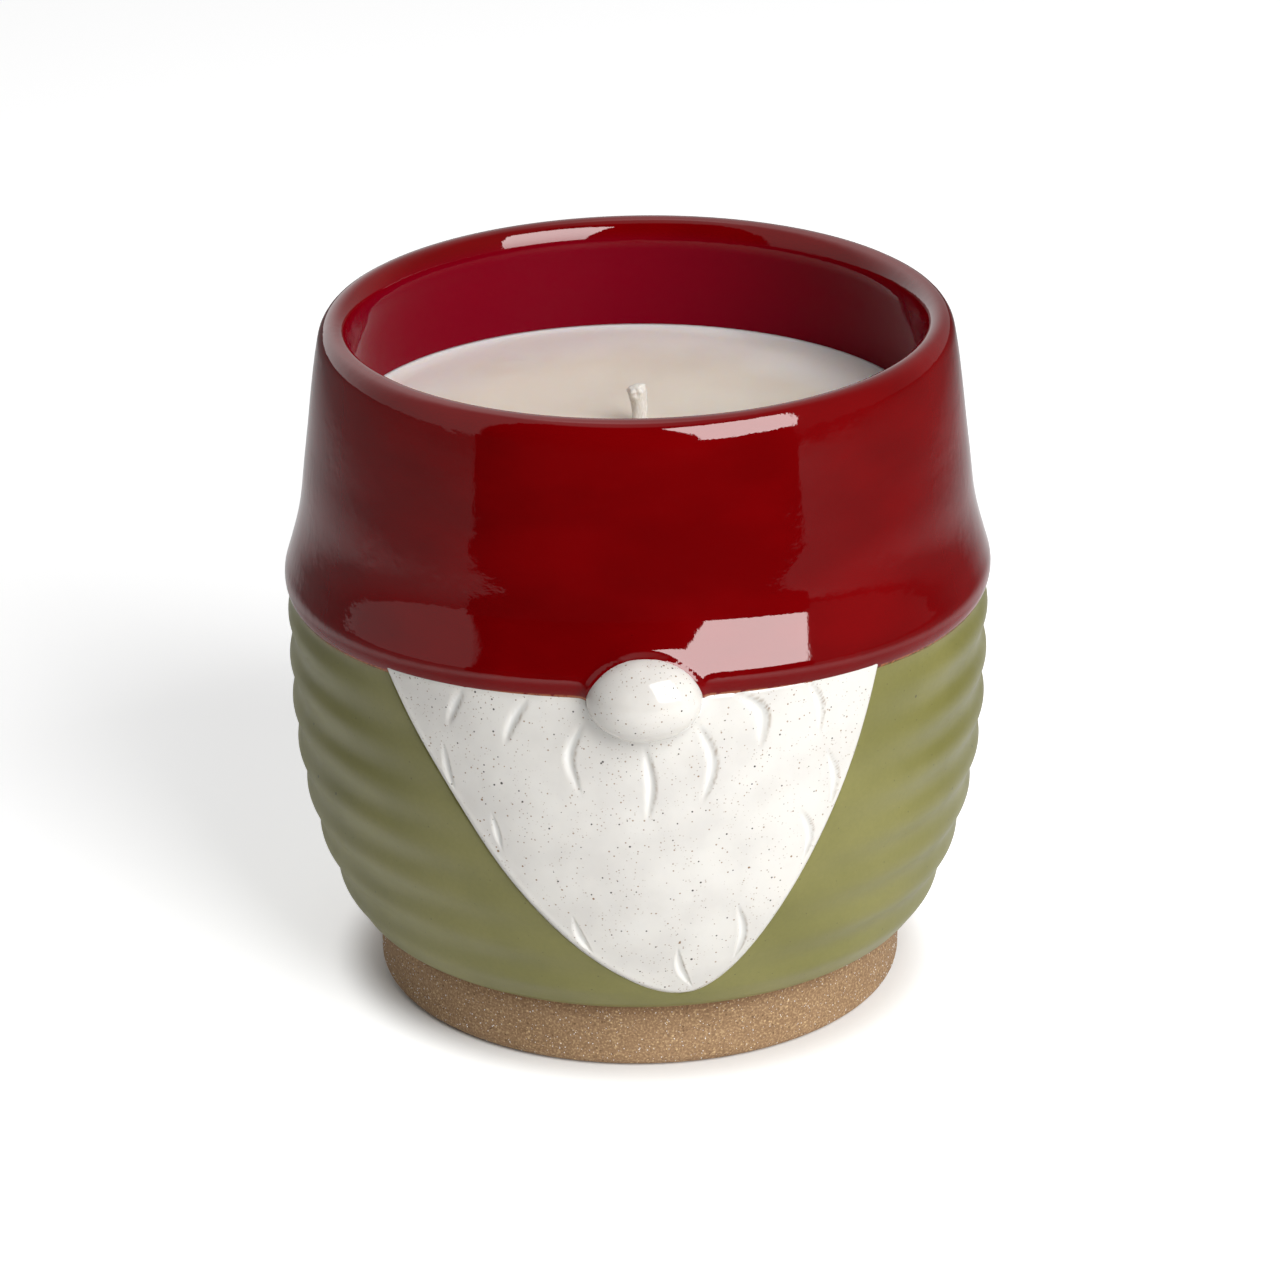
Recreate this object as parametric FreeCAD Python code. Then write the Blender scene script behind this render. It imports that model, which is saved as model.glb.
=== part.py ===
import FreeCAD, Part
import math
import os

# A stoneware candle pot in the shape of a gnome: bare clay foot, ribbed bowl, flared hat, relief beard, round
# nose, their coats of glaze, and the wax, wick and wick tab inside. Millimetres. The origin is on the pot's axis
# at the underside of its foot, +Z is up, and the gnome faces -Y.

# ---- driving dimensions -------------------------------------------------------------------------------------
GLAZE = 0.45                # thickness of every coat of glaze

FOOT_RADIUS = 37.8
FOOT_HEIGHT = 10.0
FOOT_EDGE = 1.6             # rounding of the edge that it stands on
GROOVE_RADIUS = 30.5        # turned groove in the underside
GROOVE_WIDTH = 1.6
GROOVE_DEPTH = 0.8

BELLY_RADIUS = 49.35        # bowl, over the glaze
BELLY_HEIGHT = 52.0         # height at which the bowl is fullest
TURN_IN_HEIGHT = 13.0       # height at which the bowl turns in under itself
TURN_IN_DROP = 7.15         # how much narrower it is there
BELLY_POWER = 2.6
RIB_PITCH = 6.85            # throwing ribs
RIB_DEPTH = 0.75
FIRST_CREST = 14.7
GLAZE_LINE_RADIUS = 38.4    # the glaze stops just outside the foot
UNDER_BULGE = (2.6, 1.1)    # a point under the clay bowl, out from the foot's upper edge and up
GLAZE_BULGE = (3.0, 0.9)    # the same point on its glaze
FLOOR_HEIGHT = 13.6         # inside, over the glaze
INNER_RADIUS = 44.5         # inside, over the glaze, where bowl and hat meet

HAT_START = 57.8            # height at which the hat is joined to the bowl
HAT_NECK = 49.0
BRIM_RADIUS = 50.0
BRIM_HEIGHT = 61.8
FLARE_TOP_RADIUS = 47.45
FLARE_TOP_HEIGHT = 72.3
LIP_CENTRE_RADIUS = 42.0
LIP_RADIUS = 2.0
LIP_HEIGHT = 97.05          # height of the lip's centre, on its higher side

BEARD_RISE = 0.55           # how far the beard stands off the bowl, over the glaze
BEARD_ROOT = 3.0            # how deep in the wall the shapes start that the beard is cut from
# the beard's outline seen from the front, as sideways place and height, down one side and up the other
BEARD_LEFT = [(-32.3, 57.8), (-31.0, 55.2), (-25.7, 46.1), (-19.0, 35.4), (-9.1, 23.4), (-1.4, 17.0)]
BEARD_TIP = (6.6, 14.2)
BEARD_RIGHT = [(11.5, 17.3), (15.5, 22.2), (22.6, 34.2), (27.6, 45.2), (30.7, 54.8), (31.4, 57.8)]

NOSE_CENTRE = (0.9, -49.9, 61.0)
NOSE_RADII = (7.75, 5.6, 5.6)
NOSE_ROOT = 46.5            # how far from the axis the nose begins, inside the clay wall

WAX_LEVEL = 82.3
WICK_RADIUS = 1.15
WICK_TIP = 88.0
TAB_RADIUS = 10.0
TAB_SHEET = 0.4
TAB_FLARE = 1.0             # width and height of the curve from its disc up into its neck
TAB_NECK_RADIUS = 1.6
TAB_NECK_HEIGHT = 6.0
STICKER_RADIUS = 9.0
STICKER_THICKNESS = 0.8

# ---- the shape of the pot -----------------------------------------------------------------------------------
CENTRE = FreeCAD.Vector(0, 0, 0)
UP = FreeCAD.Vector(0, 0, 1)
FRONT = FreeCAD.Vector(0, -1, 0)
LIP_TOP = LIP_HEIGHT + LIP_RADIUS
REACH = 60.0                # further out than any part of the pot


def at(radius, height):
    """A point of a turned outline."""
    return FreeCAD.Vector(radius, 0, height)


def bowl_radius(height):
    """The bowl's smooth outside, over the glaze and without its ribs."""
    below = max(0.0, BELLY_HEIGHT - height) / (BELLY_HEIGHT - TURN_IN_HEIGHT)
    return BELLY_RADIUS - TURN_IN_DROP * below ** BELLY_POWER


def ribbed_radius(height):
    """The bowl's outside with its ribs, which stand half proud of the smooth wall and half below it."""
    return bowl_radius(height) + RIB_DEPTH / 2 * math.cos(2 * math.pi * (height - FIRST_CREST) / RIB_PITCH)


class Outline:
    """A closed half outline in the plane through the axis, drawn edge by edge and then turned."""

    def __init__(self, radius, height):
        self.first = at(radius, height)
        self.here = self.first
        self.edges = []

    def line(self, radius, height):
        """A straight edge."""
        there = at(radius, height)
        self.edges.append(Part.LineSegment(self.here, there).toShape())
        self.here = there
        return self

    def arc(self, middle, end):
        """A round edge through the middle point."""
        there = at(*end)
        self.edges.append(Part.Arc(self.here, at(*middle), there).toShape())
        self.here = there
        return self

    def curve(self, points):
        """A smooth edge through the points."""
        line = Part.BSplineCurve()
        line.interpolate([self.here] + [at(*p) for p in points])
        self.edges.append(line.toShape())
        self.here = at(*points[-1])
        return self

    def turned(self):
        """The solid that the outline sweeps about the axis."""
        if self.here.distanceToPoint(self.first) > 1e-6:
            self.line(self.first.x, self.first.z)
        face = Part.Face(Part.Wire(self.edges))
        return only_solid(face.revolve(CENTRE, UP, 360))


def only_solid(shape):
    """The shape's largest solid, turned the right way out."""
    solid = max(shape.Solids, key=lambda s: abs(s.Volume))
    if solid.Volume < 0:
        solid.reverse()
    return solid


def ribbed_wall(inset, low, high):
    """Points up the ribbed outside, six to a rib, set in from the glazed surface."""
    steps = round((high - low) / RIB_PITCH * 6)
    heights = [low + (high - low) * i / steps for i in range(steps + 1)]
    return [(ribbed_radius(h) - inset, h) for h in heights]


def smooth_wall(rise, low, high):
    """Points up the smooth outside, raised by the given amount."""
    steps = 8
    heights = [low + (high - low) * i / steps for i in range(steps + 1)]
    return [(bowl_radius(h) + rise, h) for h in heights]


def hat_outside(inset):
    """Points from the hat's join, round under the brim and up its flare, set in from the glazed surface."""
    points = [
        (HAT_NECK, HAT_START),
        (49.25, 58.9),
        (49.78, 60.2),
        (BRIM_RADIUS, BRIM_HEIGHT),
        (49.8, 63.3),
        (49.1, 65.7),
        (48.15, 68.9),
        (FLARE_TOP_RADIUS, FLARE_TOP_HEIGHT),
    ]
    return [(r - inset, h) for r, h in points]


def hat_inside(outset):
    """Points down the hat's inner wall from under the lip, set back from the glazed surface."""
    points = [(40.5, 92.0), (41.2, 84.0), (42.3, 75.0), (43.8, 66.0), (INNER_RADIUS, HAT_START)]
    return [(r + outset, h) for r, h in points]


def bowl_inside(outset):
    """Points from the hat's join down the bowl's inner wall to its floor, set back from the glazed surface."""
    points = [(44.4, 49.0), (43.9, 38.0), (41.6, 26.5), (36.5, 17.6), (28.0, FLOOR_HEIGHT)]
    return [(r + outset * min(1.0, h / 20.0), h - outset * (h < 30)) for r, h in points]


# ---- clay ---------------------------------------------------------------------------------------------------
def make_foot():
    """The bare clay foot: a disc with a rounded lower edge and one shallow groove turned in its underside."""
    corner = FOOT_EDGE * (1 - math.sqrt(0.5))
    disc = (
        Outline(0, 0)
        .line(FOOT_RADIUS - FOOT_EDGE, 0)
        .arc((FOOT_RADIUS - corner, corner), (FOOT_RADIUS, FOOT_EDGE))
        .line(FOOT_RADIUS, FOOT_HEIGHT)
        .line(0, FOOT_HEIGHT)
        .turned()
    )
    half = GROOVE_WIDTH / 2
    groove = (
        Outline(GROOVE_RADIUS - half, -1)
        .line(GROOVE_RADIUS + half, -1)
        .line(GROOVE_RADIUS + half, 0)
        .arc((GROOVE_RADIUS, GROOVE_DEPTH), (GROOVE_RADIUS - half, 0))
        .turned()
    )
    return only_solid(disc.cut(groove))


def make_bowl():
    """The thrown bowl: floor, turned-in underside and ribbed wall, up to the hat's join."""
    under = ribbed_radius(TURN_IN_HEIGHT) - GLAZE
    return (
        Outline(0, FOOT_HEIGHT)
        .line(FOOT_RADIUS, FOOT_HEIGHT)
        .arc((FOOT_RADIUS + UNDER_BULGE[0], FOOT_HEIGHT + UNDER_BULGE[1]), (under, TURN_IN_HEIGHT))
        .curve(ribbed_wall(GLAZE, TURN_IN_HEIGHT, HAT_START)[1:])
        .line(INNER_RADIUS + GLAZE, HAT_START)
        .curve(bowl_inside(GLAZE))
        .line(0, FLOOR_HEIGHT - GLAZE)
        .turned()
    )


def make_hat():
    """The upper wall of the pot: rolled brim, flare, straight cone and round lip."""
    lip = LIP_RADIUS - GLAZE
    return (
        Outline(*hat_outside(GLAZE)[0])
        .curve(hat_outside(GLAZE)[1:])
        .line(LIP_CENTRE_RADIUS + lip, LIP_HEIGHT)
        .arc((LIP_CENTRE_RADIUS, LIP_HEIGHT + lip), (LIP_CENTRE_RADIUS - lip, LIP_HEIGHT))
        .curve(hat_inside(GLAZE))
        .turned()
    )


def beard_prism(inset):
    """A block with the beard's outline, seen from the front, from the pot's axis out past its wall."""
    left = [(x + inset, z) for x, z in BEARD_LEFT]
    right = [(x - inset, z) for x, z in BEARD_RIGHT]
    points = left + [(BEARD_TIP[0], BEARD_TIP[1] + inset)] + right
    line = Part.BSplineCurve()
    line.interpolate([FreeCAD.Vector(x, 0, z) for x, z in points])
    edge = line.toShape()
    top = Part.LineSegment(FreeCAD.Vector(points[-1][0], 0, HAT_START), FreeCAD.Vector(points[0][0], 0, HAT_START))
    return Part.Face(Part.Wire([edge, top.toShape()])).extrude(FRONT * REACH)


def beard_shell(rise):
    """A turned shell from inside the clay wall out to the raised surface that the beard's face follows."""
    low = TURN_IN_HEIGHT - 1
    outer = smooth_wall(rise, low, HAT_START)
    inner = smooth_wall(-BEARD_ROOT, low, HAT_START)[::-1]
    return Outline(*outer[0]).curve(outer[1:]).line(*inner[0]).curve(inner[1:]).turned()


def nose_ball(inset):
    """The egg shape that the nose shows outside the wall."""
    ball = Part.makeSphere(1.0, CENTRE, FRONT)
    stretch = FreeCAD.Matrix()
    stretch.scale(*[r - inset for r in NOSE_RADII])
    ball = ball.transformGeometry(stretch)
    ball.translate(FreeCAD.Vector(*NOSE_CENTRE))
    outside = Part.makeBox(REACH, REACH, REACH, FreeCAD.Vector(-REACH / 2, -NOSE_ROOT - REACH, REACH / 2))
    return ball.common(outside)


# ---- glaze --------------------------------------------------------------------------------------------------
def make_body_coat():
    """The green coat on the bowl's outside, before the beard and nose are let into it."""
    under = (ribbed_radius(TURN_IN_HEIGHT), TURN_IN_HEIGHT)
    return (
        Outline(FOOT_RADIUS, FOOT_HEIGHT)
        .line(GLAZE_LINE_RADIUS, FOOT_HEIGHT)
        .arc((FOOT_RADIUS + GLAZE_BULGE[0], FOOT_HEIGHT + GLAZE_BULGE[1]), under)
        .curve(ribbed_wall(0, TURN_IN_HEIGHT, HAT_START)[1:])
        .line(ribbed_radius(HAT_START) - GLAZE, HAT_START)
        .curve(ribbed_wall(GLAZE, TURN_IN_HEIGHT, HAT_START)[-2::-1])
        .arc((FOOT_RADIUS + UNDER_BULGE[0], FOOT_HEIGHT + UNDER_BULGE[1]), (FOOT_RADIUS, FOOT_HEIGHT))
        .turned()
    )


def make_hat_coat():
    """The red coat of the hat: its outside, over the lip and down its inner wall."""
    lip = LIP_RADIUS - GLAZE
    return (
        Outline(HAT_NECK, HAT_START)
        .curve(hat_outside(0)[1:])
        .line(LIP_CENTRE_RADIUS + LIP_RADIUS, LIP_HEIGHT)
        .arc((LIP_CENTRE_RADIUS, LIP_TOP), (LIP_CENTRE_RADIUS - LIP_RADIUS, LIP_HEIGHT))
        .curve(hat_inside(0))
        .line(INNER_RADIUS + GLAZE, HAT_START)
        .curve(hat_inside(GLAZE)[-2::-1] + [(LIP_CENTRE_RADIUS - lip, LIP_HEIGHT)])
        .arc((LIP_CENTRE_RADIUS, LIP_HEIGHT + lip), (LIP_CENTRE_RADIUS + lip, LIP_HEIGHT))
        .line(*hat_outside(GLAZE)[-1])
        .curve(hat_outside(GLAZE)[-2::-1])
        .turned()
    )


def make_inner_coat():
    """The red coat inside the bowl, from the hat's join down over the floor."""
    return (
        Outline(0, FLOOR_HEIGHT - GLAZE)
        .line(*bowl_inside(GLAZE)[-1])
        .curve(bowl_inside(GLAZE)[-2::-1] + [(INNER_RADIUS + GLAZE, HAT_START)])
        .line(INNER_RADIUS, HAT_START)
        .curve(bowl_inside(0))
        .line(0, FLOOR_HEIGHT)
        .turned()
    )


# ---- candle -------------------------------------------------------------------------------------------------
def make_sticker():
    """The round adhesive pad that holds the wick tab to the floor."""
    return Part.makeCylinder(STICKER_RADIUS, STICKER_THICKNESS, at(0, FLOOR_HEIGHT))


def make_tab():
    """The wick tab: a thin metal disc with a crimped neck round the wick."""
    low = FLOOR_HEIGHT + STICKER_THICKNESS
    sheet = low + TAB_SHEET
    near = TAB_FLARE * (1 - math.sqrt(0.5))
    return (
        Outline(0, low)
        .line(TAB_RADIUS, low)
        .line(TAB_RADIUS, sheet)
        .line(TAB_NECK_RADIUS + TAB_FLARE, sheet)
        .arc((TAB_NECK_RADIUS + near, sheet + near), (TAB_NECK_RADIUS, sheet + TAB_FLARE))
        .line(TAB_NECK_RADIUS, low + TAB_NECK_HEIGHT)
        .line(WICK_RADIUS, low + TAB_NECK_HEIGHT)
        .line(WICK_RADIUS, sheet)
        .line(0, sheet)
        .turned()
    )


def make_wick():
    """The cotton wick, from the tab up through the wax to its rounded tip."""
    low = FLOOR_HEIGHT + STICKER_THICKNESS + TAB_SHEET
    slant = WICK_RADIUS * math.sqrt(0.5)
    return (
        Outline(0, low)
        .line(WICK_RADIUS, low)
        .line(WICK_RADIUS, WICK_TIP - WICK_RADIUS)
        .arc((slant, WICK_TIP - WICK_RADIUS + slant), (0, WICK_TIP))
        .turned()
    )


def make_wax(inside):
    """The wax fill, which takes the shape of everything that it was poured round."""
    hat_wall = [p for p in hat_inside(0)[::-1] if p[1] < WAX_LEVEL]
    bowl_wall = bowl_inside(0)[-2::-1]
    lower = (
        Outline(0, FLOOR_HEIGHT)
        .line(*bowl_inside(0)[-1])
        .curve(bowl_wall + [hat_wall[0]])
        .line(0, HAT_START)
        .turned()
    )
    cup = Part.makeCylinder(INNER_RADIUS + 1, WAX_LEVEL - HAT_START, at(0, HAT_START))
    upper = only_solid(cup.cut(inside["hat_glaze"]))
    wax = lower.fuse(upper)
    for name in ("wick_sticker", "wick_tab", "wick"):
        wax = wax.cut(inside[name])
    return only_solid(wax.removeSplitter())


# ---- the assembly -------------------------------------------------------------------------------------------
def make_parts():
    """Every piece of the candle, by name."""
    parts = {"foot": make_foot(), "bowl": make_bowl(), "hat": make_hat()}
    nose_core = nose_ball(GLAZE)
    nose_skin = nose_ball(0)
    beard_hole = beard_prism(0)

    beard = beard_prism(GLAZE).common(beard_shell(BEARD_RISE - GLAZE / 2))
    parts["beard"] = only_solid(beard.cut(parts["bowl"]))
    clay = parts["bowl"].fuse([parts["hat"], parts["beard"]])
    parts["nose"] = only_solid(nose_core.cut(clay))

    parts["body_glaze"] = only_solid(make_body_coat().cut(beard_hole).cut(nose_skin))
    parts["hat_glaze"] = only_solid(make_hat_coat().cut(nose_skin))
    parts["inner_glaze"] = make_inner_coat()
    coat = beard_hole.common(beard_shell(BEARD_RISE))
    parts["beard_glaze"] = only_solid(coat.cut(clay).cut(nose_skin))
    parts["nose_glaze"] = only_solid(nose_skin.cut(nose_core).cut(clay))

    parts["wick_sticker"] = make_sticker()
    parts["wick_tab"] = make_tab()
    parts["wick"] = make_wick()
    parts["wax"] = make_wax(parts)
    return parts


os.makedirs("parts", exist_ok=True)
for name, solid in make_parts().items():
    print(f"{name}: {solid.Volume / 1000:.2f} cm3, valid {solid.isValid()}, closed {solid.isClosed()}")
    solid.exportStep(f"parts/{name}.step")
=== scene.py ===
"""A gnome-shaped stoneware candle pot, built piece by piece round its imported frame.

The pot is made in the order that its makers work: foot, bowl, hat, beard and nose in clay, a coat of glaze
on each, then the wick on its tab and the wax round it. Every outline is worked out in millimetres, in the
frame's own axes: x to the viewer's right, z up, and the gnome facing -y. A mesh is made in metres.
"""

import logging
import math
from dataclasses import dataclass
from enum import Enum

import bmesh
import bpy
import numpy as np
from mathutils import Matrix, Vector

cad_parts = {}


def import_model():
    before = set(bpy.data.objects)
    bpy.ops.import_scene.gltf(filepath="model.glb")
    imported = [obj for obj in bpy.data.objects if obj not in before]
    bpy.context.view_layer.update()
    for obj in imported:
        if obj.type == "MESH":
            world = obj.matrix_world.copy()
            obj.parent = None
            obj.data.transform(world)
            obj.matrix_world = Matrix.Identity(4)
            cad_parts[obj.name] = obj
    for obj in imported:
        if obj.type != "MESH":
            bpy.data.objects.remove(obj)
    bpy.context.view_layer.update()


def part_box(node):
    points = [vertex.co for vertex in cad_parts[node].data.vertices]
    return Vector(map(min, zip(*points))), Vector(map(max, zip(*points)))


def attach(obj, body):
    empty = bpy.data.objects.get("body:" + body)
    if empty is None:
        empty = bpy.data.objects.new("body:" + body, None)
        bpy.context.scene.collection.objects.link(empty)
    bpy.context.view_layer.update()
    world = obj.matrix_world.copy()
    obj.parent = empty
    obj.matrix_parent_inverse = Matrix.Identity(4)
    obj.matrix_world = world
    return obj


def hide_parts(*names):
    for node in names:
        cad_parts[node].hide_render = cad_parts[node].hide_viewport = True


MM = 0.001
BODY = "root"
log = logging.getLogger("gnome_pot")

Colour = tuple[float, float, float]


class Slot(Enum):
    """The record's material slots."""

    BARE = "bare_stoneware"
    CLAY = "clay_body"
    GREEN = "green_glaze"
    RED = "red_glaze"
    WHITE = "white_glaze"
    WAX = "candle_wax"
    COTTON = "wick_cotton"
    METAL = "tab_metal"
    STICKER = "sticker"


# ---- outlines -----------------------------------------------------------------------------------
def spline(points: list[tuple[float, float]] | np.ndarray, count: int) -> np.ndarray:
    """A smooth line through points, evenly spaced along it.

    Args:
        points: the points that it goes through, at least three.
        count: how many points the line has.

    Returns:
        The line, as an array of count rows.
    """
    p = np.asarray(points, float)
    t = np.concatenate([[0.0], np.cumsum(np.linalg.norm(np.diff(p, axis=0), axis=1))])
    h = np.diff(t)
    last = len(p) - 1
    system, right = np.eye(len(p)), np.zeros_like(p)
    for i in range(1, last):
        system[i, i - 1 : i + 2] = h[i - 1], 2 * (h[i - 1] + h[i]), h[i]
        right[i] = 6 * ((p[i + 1] - p[i]) / h[i] - (p[i] - p[i - 1]) / h[i - 1])
    bend = np.linalg.solve(system, right)
    s = np.linspace(0.0, t[-1], count)
    k = np.clip(np.searchsorted(t, s, side="right") - 1, 0, last - 1)
    ahead, behind, step = (t[k + 1] - s)[:, None], (s - t[k])[:, None], h[k][:, None]
    cubic = (bend[k] * ahead**3 + bend[k + 1] * behind**3) / (6 * step)
    start, end = p[k] / step - bend[k] * step / 6, p[k + 1] / step - bend[k + 1] * step / 6
    return cubic + start * ahead + end * behind


def offset(outline: np.ndarray, inset: float) -> np.ndarray:
    """An outline moved to its left: into the wall, if it is drawn up the outside and down the inside."""
    along = np.gradient(outline, axis=0)
    along /= np.linalg.norm(along, axis=1)[:, None]
    return outline + inset * np.stack([-along[:, 1], along[:, 0]], axis=1)


def joined(*runs: np.ndarray | list) -> np.ndarray:
    """Several runs of points as one line."""
    return np.vstack([np.asarray(run, float) for run in runs])


def arc(
    centre: tuple[float, float], radius: float | tuple[float, float], degrees: np.ndarray | list
) -> np.ndarray:
    """Points on a circle, or on an ellipse if it has two radii.

    Args:
        centre: its middle.
        radius: its radius, or its radii across and up.
        degrees: where on it the points are, from straight outwards and turning upwards.

    Returns:
        The points, one to a row.
    """
    turn = np.radians(degrees)
    return np.asarray(centre) + np.asarray(radius) * np.stack([np.cos(turn), np.sin(turn)], axis=1)


def upright(radius: float, heights: np.ndarray) -> np.ndarray:
    """A straight run at one radius through those heights."""
    return np.stack([np.full(len(heights), radius), heights], axis=1)


def smoothstep(value: np.ndarray | float, low: float, high: float) -> np.ndarray:
    """0 below low, 1 above high, and a smooth rise between."""
    t = np.clip((np.asarray(value, float) - low) / (high - low), 0.0, 1.0)
    return t * t * (3 - 2 * t)


def turn_angles(fine: int, coarse: int, half_front: float) -> np.ndarray:
    """Angles round the pot from the front, in radians, closer together across the front.

    Args:
        fine: how many angles the front has.
        coarse: how many the rest has.
        half_front: half the width of the front, in degrees.

    Returns:
        The angles, rising through one turn.
    """
    front = np.linspace(-half_front, half_front, fine, endpoint=False)
    rest = np.linspace(half_front, 360.0 - half_front, coarse, endpoint=False)
    return np.radians(np.concatenate([front, rest]))


def around(radius: np.ndarray, angle: np.ndarray, height: np.ndarray) -> np.ndarray:
    """Points at those radii, angles from the front and heights."""
    r, a, z = np.broadcast_arrays(radius, angle, height)
    return np.stack([r * np.sin(a), -r * np.cos(a), z], axis=-1)


def wrap_angle(points: np.ndarray) -> np.ndarray:
    """Each point's angle round the pot from the front."""
    return np.arctan2(points[:, 0], -points[:, 1])


def distance_out(points: np.ndarray) -> np.ndarray:
    """Each point's distance from the axis."""
    return np.hypot(points[:, 0], points[:, 1])


# ---- meshes -------------------------------------------------------------------------------------
def grid_faces(rows: int, columns: int, wrap_rows: bool, wrap_columns: bool) -> np.ndarray:
    """The four-sided faces of a grid of points numbered row by row.

    Args:
        rows: how many rows of points there are.
        columns: how many points a row has.
        wrap_rows: whether the last row joins the first.
        wrap_columns: whether the last column joins the first.

    Returns:
        One face to a row, as four point numbers.
    """
    high, wide = rows - (not wrap_rows), columns - (not wrap_columns)
    i, j = np.meshgrid(np.arange(high), np.arange(wide), indexing="ij")
    i2, j2 = (i + 1) % rows, (j + 1) % columns
    corners = [i * columns + j, i * columns + j2, i2 * columns + j2, i2 * columns + j]
    return np.stack([c.ravel() for c in corners], axis=1)


def sheet_faces(rows: int, columns: int, first_side_row: int = 0) -> list:
    """The faces of a closed sheet between two equal grids of points, numbered one after the other.

    Args:
        rows: how many rows of points a grid has.
        columns: how many points a row has.
        first_side_row: the row above which the sheet's two sides need closing.

    Returns:
        The faces, each a list of point numbers.
    """
    count = rows * columns
    front = grid_faces(rows, columns, False, False)
    faces = [*front, *(front + count)[:, ::-1]]
    rims = [row * columns + np.arange(columns) for row in (0, rows - 1)]
    rims += [np.arange(first_side_row, rows) * columns + column for column in (0, columns - 1)]
    for rim in rims:
        faces += [[a, b, b + count, a + count] for a, b in zip(rim[:-1], rim[1:])]
    return faces


def add_object(name: str, data: bpy.types.ID) -> bpy.types.Object:
    """A new object in the scene that holds that mesh, light or camera."""
    obj = bpy.data.objects.new(name, data)
    bpy.context.scene.collection.objects.link(obj)
    return obj


def make_mesh(name: str, points: np.ndarray, faces: list) -> bpy.types.Object:
    """A closed, smooth-shaded mesh object with its faces outwards.

    Args:
        name: the object's name.
        points: its points, in millimetres.
        faces: its faces, each a list of point numbers.

    Returns:
        The object, at the origin.
    """
    mesh = bpy.data.meshes.new(name)
    mesh.from_pydata((points.reshape(-1, 3) * MM).tolist(), [], [list(map(int, f)) for f in faces])
    obj = add_object(name, mesh)
    seal(obj)
    return obj


def seal(obj: bpy.types.Object) -> None:
    """Welds a mesh's seams and poles, drops faces with no area, and turns its faces outwards.

    Args:
        obj: the mesh's object.
    """
    sheet = bmesh.new()
    sheet.from_mesh(obj.data)
    bmesh.ops.remove_doubles(sheet, verts=sheet.verts, dist=1e-7)
    bmesh.ops.dissolve_degenerate(sheet, edges=sheet.edges, dist=1e-8)
    bmesh.ops.recalc_face_normals(sheet, faces=sheet.faces)
    if sheet.calc_volume(signed=True) < 0:
        bmesh.ops.reverse_faces(sheet, faces=sheet.faces)
    for face in sheet.faces:
        face.smooth = True
    sheet.to_mesh(obj.data)
    sheet.free()
    obj.data.update()


def lathe(name: str, outline: np.ndarray, angles: np.ndarray, ring: bool) -> bpy.types.Object:
    """A turned solid.

    Args:
        name: the object's name.
        outline: radius and height of each point of its half outline.
        angles: the angles that it has points at.
        ring: whether the outline is a closed loop clear of the axis, rather than one that ends on the axis.

    Returns:
        The solid's object.
    """
    points = around(outline[:, :1], angles[None, :], outline[:, 1:])
    return make_mesh(name, points, grid_faces(len(outline), len(angles), ring, True))


def set_attribute(obj: bpy.types.Object, name: str, values: np.ndarray) -> None:
    """Stores one number for each of the mesh's points."""
    layer = obj.data.attributes.new(name, "FLOAT", "POINT")
    layer.data.foreach_set("value", np.asarray(values, np.float32).ravel())


def points_of(obj: bpy.types.Object) -> np.ndarray:
    """The mesh's points, in millimetres."""
    found = np.empty(len(obj.data.vertices) * 3)
    obj.data.vertices.foreach_get("co", found)
    return found.reshape(-1, 3) / MM


def move_points(obj: bpy.types.Object, points: np.ndarray) -> None:
    """Puts the mesh's points in new places, given in millimetres."""
    obj.data.vertices.foreach_set("co", (points * MM).astype(np.float32).ravel())
    obj.data.update()


# ---- geometry nodes -----------------------------------------------------------------------------
class Graph:
    """A node tree under construction, for a shape or a material."""

    def __init__(self, tree: bpy.types.NodeTree) -> None:
        """Starts on an empty tree."""
        self.tree = tree

    def node(self, kind: str, settings: dict | None = None, inputs: dict | None = None) -> bpy.types.Node:
        """Adds a node.

        Args:
            kind: the node's type.
            settings: its properties.
            inputs: what its inputs are set to or linked from, by name or number.

        Returns:
            The node.
        """
        made = self.tree.nodes.new(kind)
        for key, value in (settings or {}).items():
            setattr(made, key, value)
        for key, value in (inputs or {}).items():
            self.put(made.inputs[key], value)
        return made

    def put(self, socket: bpy.types.NodeSocket, value: object) -> None:
        """Links a socket to an output, or sets its value."""
        if isinstance(value, bpy.types.NodeSocket):
            self.tree.links.new(value, socket)
        else:
            socket.default_value = value

    def math(self, operation: str, *values: object) -> bpy.types.NodeSocket:
        """One arithmetic step."""
        made = self.node("ShaderNodeMath", {"operation": operation}, dict(enumerate(values)))
        return made.outputs[0]

    def ramp(
        self, value: object, low: float, high: float, to_low: float = 0.0, to_high: float = 1.0
    ) -> bpy.types.NodeSocket:
        """A smooth rise from one number to another.

        Args:
            value: what it follows.
            low: the value at which the rise starts.
            high: the value at which it ends.
            to_low: its own number at the start.
            to_high: its own number at the end.

        Returns:
            The number.
        """
        made = self.node(
            "ShaderNodeMapRange",
            {"interpolation_type": "SMOOTHSTEP"},
            {"Value": value, "From Min": low, "From Max": high, "To Min": to_low, "To Max": to_high},
        )
        return made.outputs["Result"]


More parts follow.
